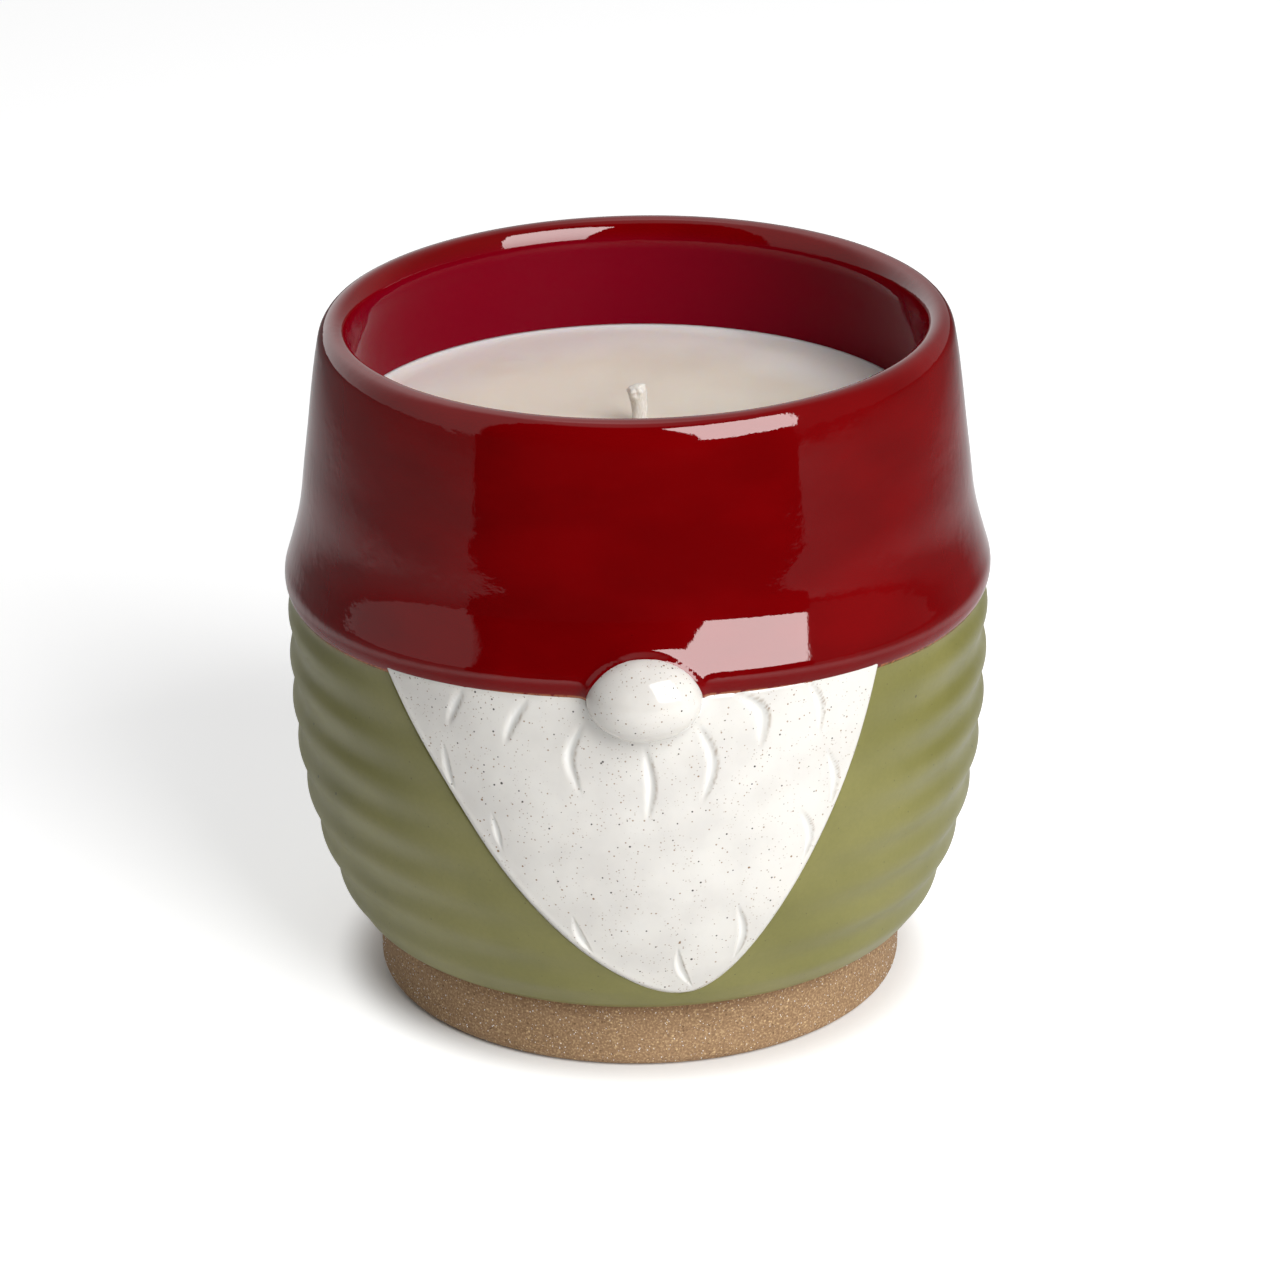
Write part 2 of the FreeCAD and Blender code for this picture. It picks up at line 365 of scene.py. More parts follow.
class ShapeTree(Graph):
    """A Geometry Nodes tree with named inputs, used once on a mesh and then made plain."""

    def __init__(self, name: str, inputs: dict[str, float | int | bpy.types.Material]) -> None:
        """Makes a tree.

        Args:
            name: the tree's name.
            inputs: the names and values of its inputs.
        """
        super().__init__(bpy.data.node_groups.new(name, "GeometryNodeTree"))
        face = self.tree.interface
        face.new_socket("Geometry", in_out="INPUT", socket_type="NodeSocketGeometry")
        face.new_socket("Geometry", in_out="OUTPUT", socket_type="NodeSocketGeometry")
        self.values = inputs
        self.sockets = {}
        for label, value in inputs.items():
            kind = "NodeSocketFloat"
            if isinstance(value, int):
                kind = "NodeSocketInt"
            if isinstance(value, bpy.types.Material):
                kind = "NodeSocketMaterial"
            self.sockets[label] = face.new_socket(label, in_out="INPUT", socket_type=kind).identifier
        self.entry = self.node("NodeGroupInput")
        self.exit = self.node("NodeGroupOutput")

    def given(self, label: str) -> bpy.types.NodeSocket:
        """The value of a named input."""
        return self.entry.outputs[label]

    def named(self, attribute: str) -> bpy.types.NodeSocket:
        """A number stored on the mesh."""
        made = self.node("GeometryNodeInputNamedAttribute", {"data_type": "FLOAT"}, {"Name": attribute})
        return made.outputs["Attribute"]

    def polar(self) -> tuple[bpy.types.NodeSocket, bpy.types.NodeSocket, bpy.types.NodeSocket]:
        """The direction straight out from the axis, the angle round it, and the height in millimetres."""
        place = self.node("GeometryNodeInputPosition").outputs[0]
        split = self.node("ShaderNodeSeparateXYZ", None, {0: place})
        flat = self.node("ShaderNodeCombineXYZ", None, {"X": split.outputs["X"], "Y": split.outputs["Y"]})
        out = self.node("ShaderNodeVectorMath", {"operation": "NORMALIZE"}, {0: flat.outputs[0]})
        angle = self.math("ARCTAN2", split.outputs["X"], split.outputs["Y"])
        return out.outputs[0], angle, self.math("DIVIDE", split.outputs["Z"], MM)

    def push(self, direction: object, millimetres: object) -> None:
        """Moves every point along a direction, as the tree's last step.

        Args:
            direction: the direction, of length one.
            millimetres: how far.
        """
        length = self.math("MULTIPLY", millimetres, MM)
        move = self.node("ShaderNodeVectorMath", {"operation": "SCALE"}, {0: direction, "Scale": length})
        moved = self.node(
            "GeometryNodeSetPosition", None, {"Geometry": self.given("Geometry"), "Offset": move.outputs[0]}
        )
        self.put(self.exit.inputs[0], moved.outputs[0])

    def apply(self, obj: bpy.types.Object) -> None:
        """Runs the tree on a mesh and keeps the result as a plain mesh.

        Args:
            obj: the mesh's object.
        """
        modifier = obj.modifiers.new("shape", "NODES")
        modifier.node_group = self.tree
        for label, identifier in self.sockets.items():
            modifier[identifier] = self.values[label]
        graph = bpy.context.evaluated_depsgraph_get()
        made = bpy.data.meshes.new_from_object(obj.evaluated_get(graph), depsgraph=graph)
        obj.modifiers.remove(modifier)
        obj.data = made


def throwing_rings(obj: bpy.types.Object, pitch: float, depth: float, first: float, wobble: float) -> None:
    """Presses even rings into a turned wall, as fingers do on the wheel, where the mesh says how much.

    Args:
        obj: the wall, whose attribute "rings" is 1 where the rings are full and 0 where there are none.
        pitch: height from one ring to the next, in millimetres.
        depth: from crest to valley.
        first: the height of a crest.
        wobble: how far the rings wander up and down round the pot.
    """
    sizes = {"Pitch": pitch, "Depth": depth, "First Crest": first, "Wobble": wobble}
    tree = ShapeTree("throwing_rings", sizes)
    out, angle, height = tree.polar()
    place = tree.node("GeometryNodeInputPosition").outputs[0]
    noise = tree.node("ShaderNodeTexNoise", None, {"Vector": place, "Scale": 22.0, "Detail": 1.0})
    drift = tree.math("MULTIPLY", tree.math("SUBTRACT", noise.outputs[0], 0.5), tree.given("Wobble"))
    quarter = tree.math("MULTIPLY", tree.given("Wobble"), 0.25)
    sway = tree.math("MULTIPLY", tree.math("SINE", angle), quarter)
    level = tree.math("ADD", tree.math("ADD", height, drift), sway)
    level = tree.math("SUBTRACT", level, tree.given("First Crest"))
    turns = tree.math("DIVIDE", level, tree.given("Pitch"))
    wave = tree.math("COSINE", tree.math("MULTIPLY", turns, math.tau))
    half = tree.math("MULTIPLY", tree.given("Depth"), 0.5)
    tree.push(out, tree.math("MULTIPLY", tree.math("MULTIPLY", wave, half), tree.named("rings")))
    tree.apply(obj)


def braid(obj: bpy.types.Object, strands: int, pitch: float, relief: float, lumps: float) -> None:
    """Gives a round cord the relief of a waxed braid, with wax lumps where the mesh says.

    Args:
        obj: the cord, upright on the axis, whose attribute "lumpy" is 1 where wax has run into lumps.
        strands: how many strands run each way.
        pitch: height of one turn of a strand, in millimetres.
        relief: how far the strands stand out.
        lumps: how far the lumps stand out.
    """
    tree = ShapeTree("braid", {"Strands": strands, "Pitch": pitch, "Relief": relief, "Lumps": lumps})
    out, angle, height = tree.polar()
    turn = tree.math("MULTIPLY", angle, tree.given("Strands"))
    climb = tree.math("MULTIPLY", tree.math("DIVIDE", height, tree.given("Pitch")), math.tau)
    one = tree.math("COSINE", tree.math("ADD", turn, climb))
    other = tree.math("COSINE", tree.math("SUBTRACT", turn, climb))
    weave = tree.math("MULTIPLY", tree.math("MAXIMUM", one, other), tree.given("Relief"))
    place = tree.node("GeometryNodeInputPosition").outputs[0]
    noise = tree.node("ShaderNodeTexNoise", None, {"Vector": place, "Scale": 1050.0, "Detail": 2.0})
    bulge = tree.math("MULTIPLY", tree.math("SUBTRACT", noise.outputs[0], 0.5), tree.given("Lumps"))
    bulge = tree.math("MULTIPLY", bulge, tree.named("lumpy"))
    tree.push(out, tree.math("ADD", weave, bulge))
    tree.apply(obj)


def scatter_grains(
    name: str, wall: bpy.types.Object, material: bpy.types.Material, seed: int
) -> bpy.types.Object:
    """Grains of grog that stand out of a bare clay wall.

    Args:
        name: the new object's name.
        wall: the wall, whose attribute "grog" says how thickly its grains lie.
        material: the grains' material.
        seed: where the random draws start.

    Returns:
        The grains, as one object of small closed shells.
    """
    obj = add_object(name, wall.data.copy())
    sizes = {"Grains per Metre": 900000.0, "Smallest": 0.03, "Largest": 0.11}
    tree = ShapeTree("grog", {**sizes, "Seed": seed, "Material": material})
    density = tree.math("MULTIPLY", tree.named("grog"), tree.given("Grains per Metre"))
    spread = tree.node(
        "GeometryNodeDistributePointsOnFaces",
        None,
        {"Mesh": tree.given("Geometry"), "Density": density, "Seed": tree.given("Seed")},
    )
    draw = tree.node(
        "FunctionNodeRandomValue",
        {"data_type": "FLOAT"},
        {2: tree.given("Smallest"), 3: tree.given("Largest"), "Seed": tree.given("Seed")},
    )
    turn = tree.node(
        "FunctionNodeRandomValue",
        {"data_type": "FLOAT_VECTOR"},
        {0: (0.0, 0.0, 0.0), 1: (math.tau, math.tau, math.tau), "Seed": tree.given("Seed")},
    )
    grain = tree.node("GeometryNodeMeshIcoSphere", None, {"Radius": MM, "Subdivisions": 1})
    squash = tree.node("ShaderNodeCombineXYZ", None, {0: draw.outputs[1], 1: draw.outputs[1]})
    tree.put(squash.inputs[2], tree.math("MULTIPLY", draw.outputs[1], 0.6))
    placed = tree.node(
        "GeometryNodeInstanceOnPoints",
        None,
        {"Points": spread.outputs["Points"], "Instance": grain.outputs["Mesh"], "Scale": squash.outputs[0]},
    )
    tree.put(placed.inputs["Rotation"], turn.outputs[0])
    real = tree.node("GeometryNodeRealizeInstances", None, {0: placed.outputs[0]})
    dressed = tree.node("GeometryNodeSetMaterial", None, {"Geometry": real.outputs[0]})
    tree.put(dressed.inputs["Material"], tree.given("Material"))
    tree.put(tree.exit.inputs[0], dressed.outputs[0])
    tree.apply(obj)
    return obj


# ---- finishes -----------------------------------------------------------------------------------
class Paint(Graph):
    """A material under construction, patterned by the object's own coordinates."""

    def __init__(self, name: str) -> None:
        """Starts a material with one shader.

        Args:
            name: the material's name.
        """
        self.material = bpy.data.materials.new(name)
        self.material.use_nodes = True
        super().__init__(self.material.node_tree)
        self.tree.nodes.clear()
        self.shader = self.node("ShaderNodeBsdfPrincipled")
        self.node("ShaderNodeOutputMaterial", None, {"Surface": self.shader.outputs[0]})
        self.place = self.node("ShaderNodeTexCoord").outputs["Object"]

    def noise(
        self, grain: float, detail: float = 3.0, stretch: tuple[float, float, float] = (1.0, 1.0, 1.0)
    ) -> bpy.types.NodeSocket:
        """Cloudy variation from 0 to 1.

        Args:
            grain: the size of one cloud, in millimetres.
            detail: how many finer layers it has.
            stretch: how much the pattern is drawn out along x, y and z.

        Returns:
            The pattern.
        """
        scale = tuple(1.0 / (grain * MM * s) for s in stretch)
        spot = self.node("ShaderNodeMapping", None, {"Vector": self.place, "Scale": scale}).outputs[0]
        made = self.node("ShaderNodeTexNoise", None, {"Vector": spot, "Scale": 1.0, "Detail": detail})
        return made.outputs[0]

    def distance_out(self) -> bpy.types.NodeSocket:
        """The distance from the pot's axis, in millimetres."""
        split = self.node("ShaderNodeSeparateXYZ", None, {0: self.place})
        across = self.math("POWER", split.outputs["X"], 2.0)
        along = self.math("POWER", split.outputs["Y"], 2.0)
        return self.math("DIVIDE", self.math("SQRT", self.math("ADD", across, along)), MM)

    def height(self) -> bpy.types.NodeSocket:
        """The height over the ground, in millimetres."""
        split = self.node("ShaderNodeSeparateXYZ", None, {0: self.place})
        return self.math("DIVIDE", split.outputs["Z"], MM)

    def specks(self, spacing: float, radius: float, share: float) -> bpy.types.NodeSocket:
        """Scattered round specks, as 1 on a speck and 0 off it.

        Args:
            spacing: the size of the cells that hold at most one speck, in millimetres.
            radius: the largest speck's radius.
            share: the part of the cells that hold one.

        Returns:
            The mask.
        """
        layout = {"Vector": self.place, "Scale": 1.0 / (spacing * MM), "Randomness": 1.0}
        cells = self.node("ShaderNodeTexVoronoi", None, layout)
        draw = self.node("ShaderNodeSeparateColor", None, {0: cells.outputs["Color"]})
        size = self.ramp(draw.outputs[0], 0.0, 1.0, 0.45 * radius / spacing, radius / spacing)
        inside = self.math("SUBTRACT", size, cells.outputs["Distance"])
        held = self.math("LESS_THAN", draw.outputs[1], share)
        return self.math("MULTIPLY", self.ramp(inside, 0.0, 0.25 * radius / spacing), held)

    def mix(self, factor: object, first: object, second: object) -> bpy.types.NodeSocket:
        """A colour between two, by factor."""
        made = self.node("ShaderNodeMix", {"data_type": "RGBA"})
        self.put(made.inputs[0], factor)
        for socket, colour in ((made.inputs[6], first), (made.inputs[7], second)):
            self.put(socket, (*colour, 1.0) if isinstance(colour, tuple) else colour)
        return made.outputs[2]

    def bump(self, height: object, depth: float, under: object = None) -> bpy.types.NodeSocket:
        """Fine relief.

        Args:
            height: the pattern, from 0 to 1.
            depth: how high 1 stands, in millimetres.
            under: relief that this lies on.

        Returns:
            The bent normal.
        """
        made = self.node("ShaderNodeBump", None, {"Height": height, "Distance": depth * MM})
        if under is not None:
            self.put(made.inputs["Normal"], under)
        return made.outputs[0]

    def attribute(self, name: str) -> bpy.types.NodeSocket:
        """A number stored on the mesh."""
        return self.node("ShaderNodeAttribute", {"attribute_name": name}).outputs["Fac"]

    def finish(self, **inputs: object) -> bpy.types.Material:
        """Sets the shader's inputs, named with underscores, and gives the material."""
        for label, value in inputs.items():
            if label.endswith(("Color", "Tint")) and isinstance(value, tuple):
                value = (*value, 1.0)
            self.put(self.shader.inputs[label.replace("_", " ")], value)
        return self.material


@dataclass(frozen=True)
class RedGlaze:
    """Deep red gloss glaze, glass-smooth over faint throwing marks, and broken to clay along the brim.

    The mesh says how low on the brim a point lies, from 0 to 1 at its lower edge.
    """

    colour: Colour = (0.165, 0.0004, 0.0012)
    deep: Colour = (0.125, 0.0002, 0.0008)
    sheen: Colour = (1.0, 0.89, 0.88)
    roughness: float = 0.02
    wall_radius: float = 43.5
    lip_start: float = 94.3
    thin: Colour = (0.36, 0.11, 0.045)
    within: Colour = (0.165, 0.0004, 0.008)
    fleck: Colour = (0.05, 0.0005, 0.001)

    def material(self) -> bpy.types.Material:
        """The glaze's material."""
        paint = Paint("red_gloss_glaze")
        cloud = paint.ramp(paint.noise(26.0, 3.0, (1.0, 1.0, 0.45)), 0.35, 0.7)
        flecks = paint.math("MULTIPLY", paint.specks(2.3, 0.16, 0.12), 0.55)
        colour = paint.mix(cloud, self.colour, self.deep)
        colour = paint.mix(flecks, colour, self.fleck)
        waves = paint.bump(paint.noise(6.0, 2.0, (1.0, 1.0, 1.3)), 0.014)
        patch = paint.ramp(paint.noise(10.0, 2.0), 0.4, 0.62, 0.25, 1.0)
        peel = paint.bump(paint.math("MULTIPLY", paint.noise(1.7, 4.0), patch), 0.036, waves)
        low = paint.attribute("low")
        ragged = paint.ramp(paint.noise(0.8, 2.0), 0.36, 0.5)
        thinned = paint.math("MULTIPLY", paint.ramp(low, 0.76, 0.88), ragged)
        colour = paint.mix(thinned, colour, self.thin)
        rough = paint.ramp(paint.noise(14.0, 2.0), 0.3, 0.8, self.roughness, self.roughness + 0.03)
        outside = paint.ramp(paint.distance_out(), self.wall_radius - 2.0, self.wall_radius)
        over_lip = paint.ramp(paint.height(), self.lip_start, self.lip_start + 3.2)
        outside = paint.math("MAXIMUM", outside, over_lip)
        colour = paint.mix(outside, self.within, colour)
        shine = paint.math("MULTIPLY", outside, paint.ramp(low, 0.0, 0.35, 1.0, 0.15))
        shine = paint.math("MULTIPLY_ADD", shine, 0.56, 0.04)
        return paint.finish(
            Base_Color=colour,
            Roughness=rough,
            IOR=1.58,
            Specular_IOR_Level=shine,
            Specular_Tint=self.sheen,
            Normal=peel,
        )


@dataclass(frozen=True)
class GreenGlaze:
    """Sage green satin glaze with iron specks and cloudy patches of a thinner, lighter skin."""

    colour: Colour = (0.174, 0.164, 0.039)
    thin: Colour = (0.27, 0.25, 0.078)
    mottle: Colour = (0.09, 0.085, 0.02)
    speck: Colour = (0.035, 0.026, 0.012)
    roughness: float = 0.34

    def material(self) -> bpy.types.Material:
        """The glaze's material."""
        paint = Paint("green_satin_glaze")
        cloud = paint.ramp(paint.noise(19.0, 4.0), 0.32, 0.72)
        colour = paint.mix(paint.math("MULTIPLY", cloud, 0.5), self.colour, self.thin)
        colour = paint.mix(paint.math("MULTIPLY", paint.noise(0.6, 3.0), 0.3), colour, self.mottle)
        fine = paint.math("MULTIPLY", paint.specks(1.1, 0.16, 0.4), 0.42)
        colour = paint.mix(fine, colour, self.speck)
        colour = paint.mix(paint.math("MULTIPLY", paint.specks(3.2, 0.27, 0.4), 0.7), colour, self.speck)
        peel = paint.bump(paint.noise(1.1, 3.0), 0.006, paint.bump(paint.noise(7.0, 2.0), 0.05))
        rough = paint.ramp(paint.noise(11.0, 2.0), 0.3, 0.75, self.roughness, self.roughness + 0.08)
        return paint.finish(Base_Color=colour, Roughness=rough, IOR=1.52, Normal=peel)


@dataclass(frozen=True)
class WhiteGlaze:
    """Speckled white gloss glaze that pools clean in hollows, with a painted highlight along the beard's rim,
    and brown on each nick's right rim: partly glaze broken to clay, partly painted shade.
    """

    colour: Colour = (0.72, 0.695, 0.65)
    cool: Colour = (0.63, 0.605, 0.57)
    # The colour of glaze pooled in the nicks, also used for the painted highlight along the beard's rim.
    pool_and_rim_highlight: Colour = (0.79, 0.775, 0.735)
    brown: Colour = (0.23, 0.13, 0.06)
    black: Colour = (0.05, 0.04, 0.035)
    roughness: float = 0.1

    def material(self) -> bpy.types.Material:
        """The glaze's material."""
        paint = Paint("white_speckled_glaze")
        cloud = paint.ramp(paint.noise(8.0, 4.0), 0.3, 0.75)
        colour = paint.mix(cloud, self.colour, self.cool)
        whitened = paint.attribute("whitened")
        clear = paint.math("SUBTRACT", 1.0, whitened)
        dusty = paint.ramp(paint.noise(6.0, 2.0), 0.38, 0.6)
        layers = (
            (0.5, 0.125, 0.8, 0.6, self.brown, dusty),
            (0.8, 0.155, 0.8, 0.75, self.brown, None),
            (1.2, 0.175, 0.7, 0.95, self.black, None),
            (1.9, 0.21, 0.6, 0.95, self.brown, None),
            (3.6, 0.22, 0.5, 0.95, self.black, None),
        )
        for spacing, radius, share, strength, tint, patch in layers:
            mask = paint.math("MULTIPLY", paint.specks(spacing, radius, share), clear)
            if patch is not None:
                mask = paint.math("MULTIPLY", mask, patch)
            colour = paint.mix(paint.math("MULTIPLY", mask, strength), colour, tint)
        # Paler where glaze pools in the nicks, and a painted highlight along the beard's rim.
        colour = paint.mix(whitened, colour, self.pool_and_rim_highlight)
        ragged = paint.ramp(paint.noise(0.9, 3.0), 0.36, 0.56)
        # Brown along each nick's right rim: partly glaze broken to clay, partly painted shade.
        broken_and_shaded = paint.math("MULTIPLY", paint.attribute("broken_and_shaded"), ragged)
        colour = paint.mix(paint.math("MULTIPLY", broken_and_shaded, 0.7), colour, self.brown)
        peel = paint.bump(paint.noise(1.0, 3.0), 0.004, paint.bump(paint.noise(5.0, 2.0), 0.05))
        return paint.finish(
            Base_Color=colour,
            Roughness=self.roughness,
            IOR=1.54,
            Normal=peel,
            Subsurface_Weight=0.12,
            Subsurface_Radius=(1.0, 0.8, 0.6),
            Subsurface_Scale=0.0012,
        )


@dataclass(frozen=True)
class BareClay:
    """Bare, sanded stoneware: warm tan, matte, full of fine grog."""

    name: str = "bare_stoneware"
    colour: Colour = (0.265, 0.158, 0.08)
    warm: Colour = (0.31, 0.19, 0.1)
    dark: Colour = (0.15, 0.083, 0.04)
    light: Colour = (0.58, 0.41, 0.22)
    # A darker band at the top of the foot, under the bowl's overhang: painted shade.
    under_bowl_shade: Colour = (0.17, 0.075, 0.032)
    under_bowl_shade_start: float = 7.0
    under_bowl_shade_end: float = 10.0

    def material(self) -> bpy.types.Material:
        """The clay's material."""
        paint = Paint(self.name)
        cloud = paint.ramp(paint.noise(7.0, 4.0, (1.4, 1.4, 0.6)), 0.3, 0.75)
        colour = paint.mix(cloud, self.colour, self.warm)
        # Painted shade: the foot darkens towards its top, under the bowl's overhang.
        under_bowl_shade = paint.ramp(paint.height(), self.under_bowl_shade_start, self.under_bowl_shade_end)
        colour = paint.mix(paint.math("MULTIPLY", under_bowl_shade, 0.55), colour, self.under_bowl_shade)
        sand = paint.noise(0.32, 2.0)
        colour = paint.mix(paint.math("MULTIPLY", paint.ramp(sand, 0.5, 0.7), 0.5), colour, self.light)
        colour = paint.mix(paint.math("MULTIPLY", paint.ramp(sand, 0.5, 0.3), 0.5), colour, self.dark)
        colour = paint.mix(paint.math("MULTIPLY", paint.specks(0.75, 0.2, 0.45), 0.9), colour, self.dark)
        colour = paint.mix(paint.math("MULTIPLY", paint.specks(0.65, 0.19, 0.45), 0.9), colour, self.light)
        relief = paint.bump(sand, 0.05, paint.bump(paint.noise(0.9, 3.0), 0.09))
        return paint.finish(Base_Color=colour, Roughness=0.82, IOR=1.45, Normal=relief)


@dataclass(frozen=True)
class Grog:
    """Grains of fired, crushed clay, some of them glassy."""

    colour: Colour = (0.46, 0.31, 0.18)
    dark: Colour = (0.2, 0.12, 0.065)
    glassy: Colour = (0.68, 0.52, 0.33)

    def material(self) -> bpy.types.Material:
        """The grains' material."""
        paint = Paint("grog_grains")
        tone = paint.noise(0.8, 1.0)
        colour = paint.mix(paint.ramp(tone, 0.35, 0.65), self.dark, self.colour)
        colour = paint.mix(paint.ramp(tone, 0.54, 0.66), colour, self.glassy)
        return paint.finish(Base_Color=colour, Roughness=paint.ramp(tone, 0.4, 0.65, 0.75, 0.4), IOR=1.5)


@dataclass(frozen=True)
class CandleWax:
    """Cream container wax, paler and frosted towards the wall, warmer and clearer in the middle."""

    middle: Colour = (0.81, 0.735, 0.63)
    edge: Colour = (0.88, 0.845, 0.80)
    frost: Colour = (0.82, 0.79, 0.73)
    edge_start: float = 25.0
    edge_end: float = 38.0

    def material(self) -> bpy.types.Material:
        """The wax's material."""
        paint = Paint("cream_candle_wax")
        drift = paint.math("MULTIPLY", paint.math("SUBTRACT", paint.noise(13.0, 3.0), 0.5), 14.0)
        pale = paint.ramp(paint.math("ADD", paint.distance_out(), drift), self.edge_start, self.edge_end)
        colour = paint.mix(pale, self.middle, self.edge)
        frosted = paint.math("MULTIPLY", paint.ramp(paint.noise(1.1, 3.0), 0.55, 0.75), 0.22)
        colour = paint.mix(frosted, colour, self.frost)
        relief = paint.bump(paint.noise(1.6, 3.0), 0.012, paint.bump(paint.noise(11.0, 2.0), 0.12))
        return paint.finish(
            Base_Color=colour,
            Roughness=paint.ramp(paint.noise(4.0, 2.0), 0.3, 0.7, 0.36, 0.5),
            IOR=1.44,
            Normal=relief,
            Subsurface_Weight=0.35,
            Subsurface_Radius=(1.0, 0.7, 0.45),
            Subsurface_Scale=0.004,
        )


@dataclass(frozen=True)
class WaxedCotton:
    """White cotton braid stiffened with wax."""

    colour: Colour = (0.83, 0.80, 0.75)
    between: Colour = (0.70, 0.66, 0.60)

    def material(self) -> bpy.types.Material:
        """The wick's material."""
        paint = Paint("waxed_cotton")
        fibre = paint.noise(0.16, 2.0, (1.0, 1.0, 6.0))
        colour = paint.mix(paint.ramp(fibre, 0.35, 0.7), self.between, self.colour)
        return paint.finish(
            Base_Color=colour,
            Roughness=0.42,
            Normal=paint.bump(fibre, 0.03),
            Subsurface_Weight=0.25,
            Subsurface_Radius=(1.0, 0.8, 0.6),
            Subsurface_Scale=0.0015,
        )


@dataclass(frozen=True)
class TinnedSteel:
    """Thin tin-plated sheet with stamping marks."""

    colour: Colour = (0.62, 0.62, 0.60)
    dull: Colour = (0.42, 0.42, 0.41)

    def material(self) -> bpy.types.Material:
        """The sheet's material."""
        paint = Paint("tinned_steel")
        haze = paint.noise(2.2, 3.0)
        colour = paint.mix(haze, self.colour, self.dull)
        return paint.finish(
            Base_Color=colour,
            Metallic=1.0,
            Roughness=paint.ramp(haze, 0.3, 0.7, 0.28, 0.45),
            Normal=paint.bump(haze, 0.01),
        )


@dataclass(frozen=True)
class AdhesiveFoam:
    """White closed-cell foam with glue on both faces."""

    colour: Colour = (0.72, 0.72, 0.70)
    hollow: Colour = (0.55, 0.55, 0.52)

    def material(self) -> bpy.types.Material:
        """The foam's material."""
        paint = Paint("adhesive_foam")
        cell = paint.noise(0.35, 2.0)
        colour = paint.mix(cell, self.colour, self.hollow)
        return paint.finish(Base_Color=colour, Roughness=0.85, Normal=paint.bump(cell, 0.05))


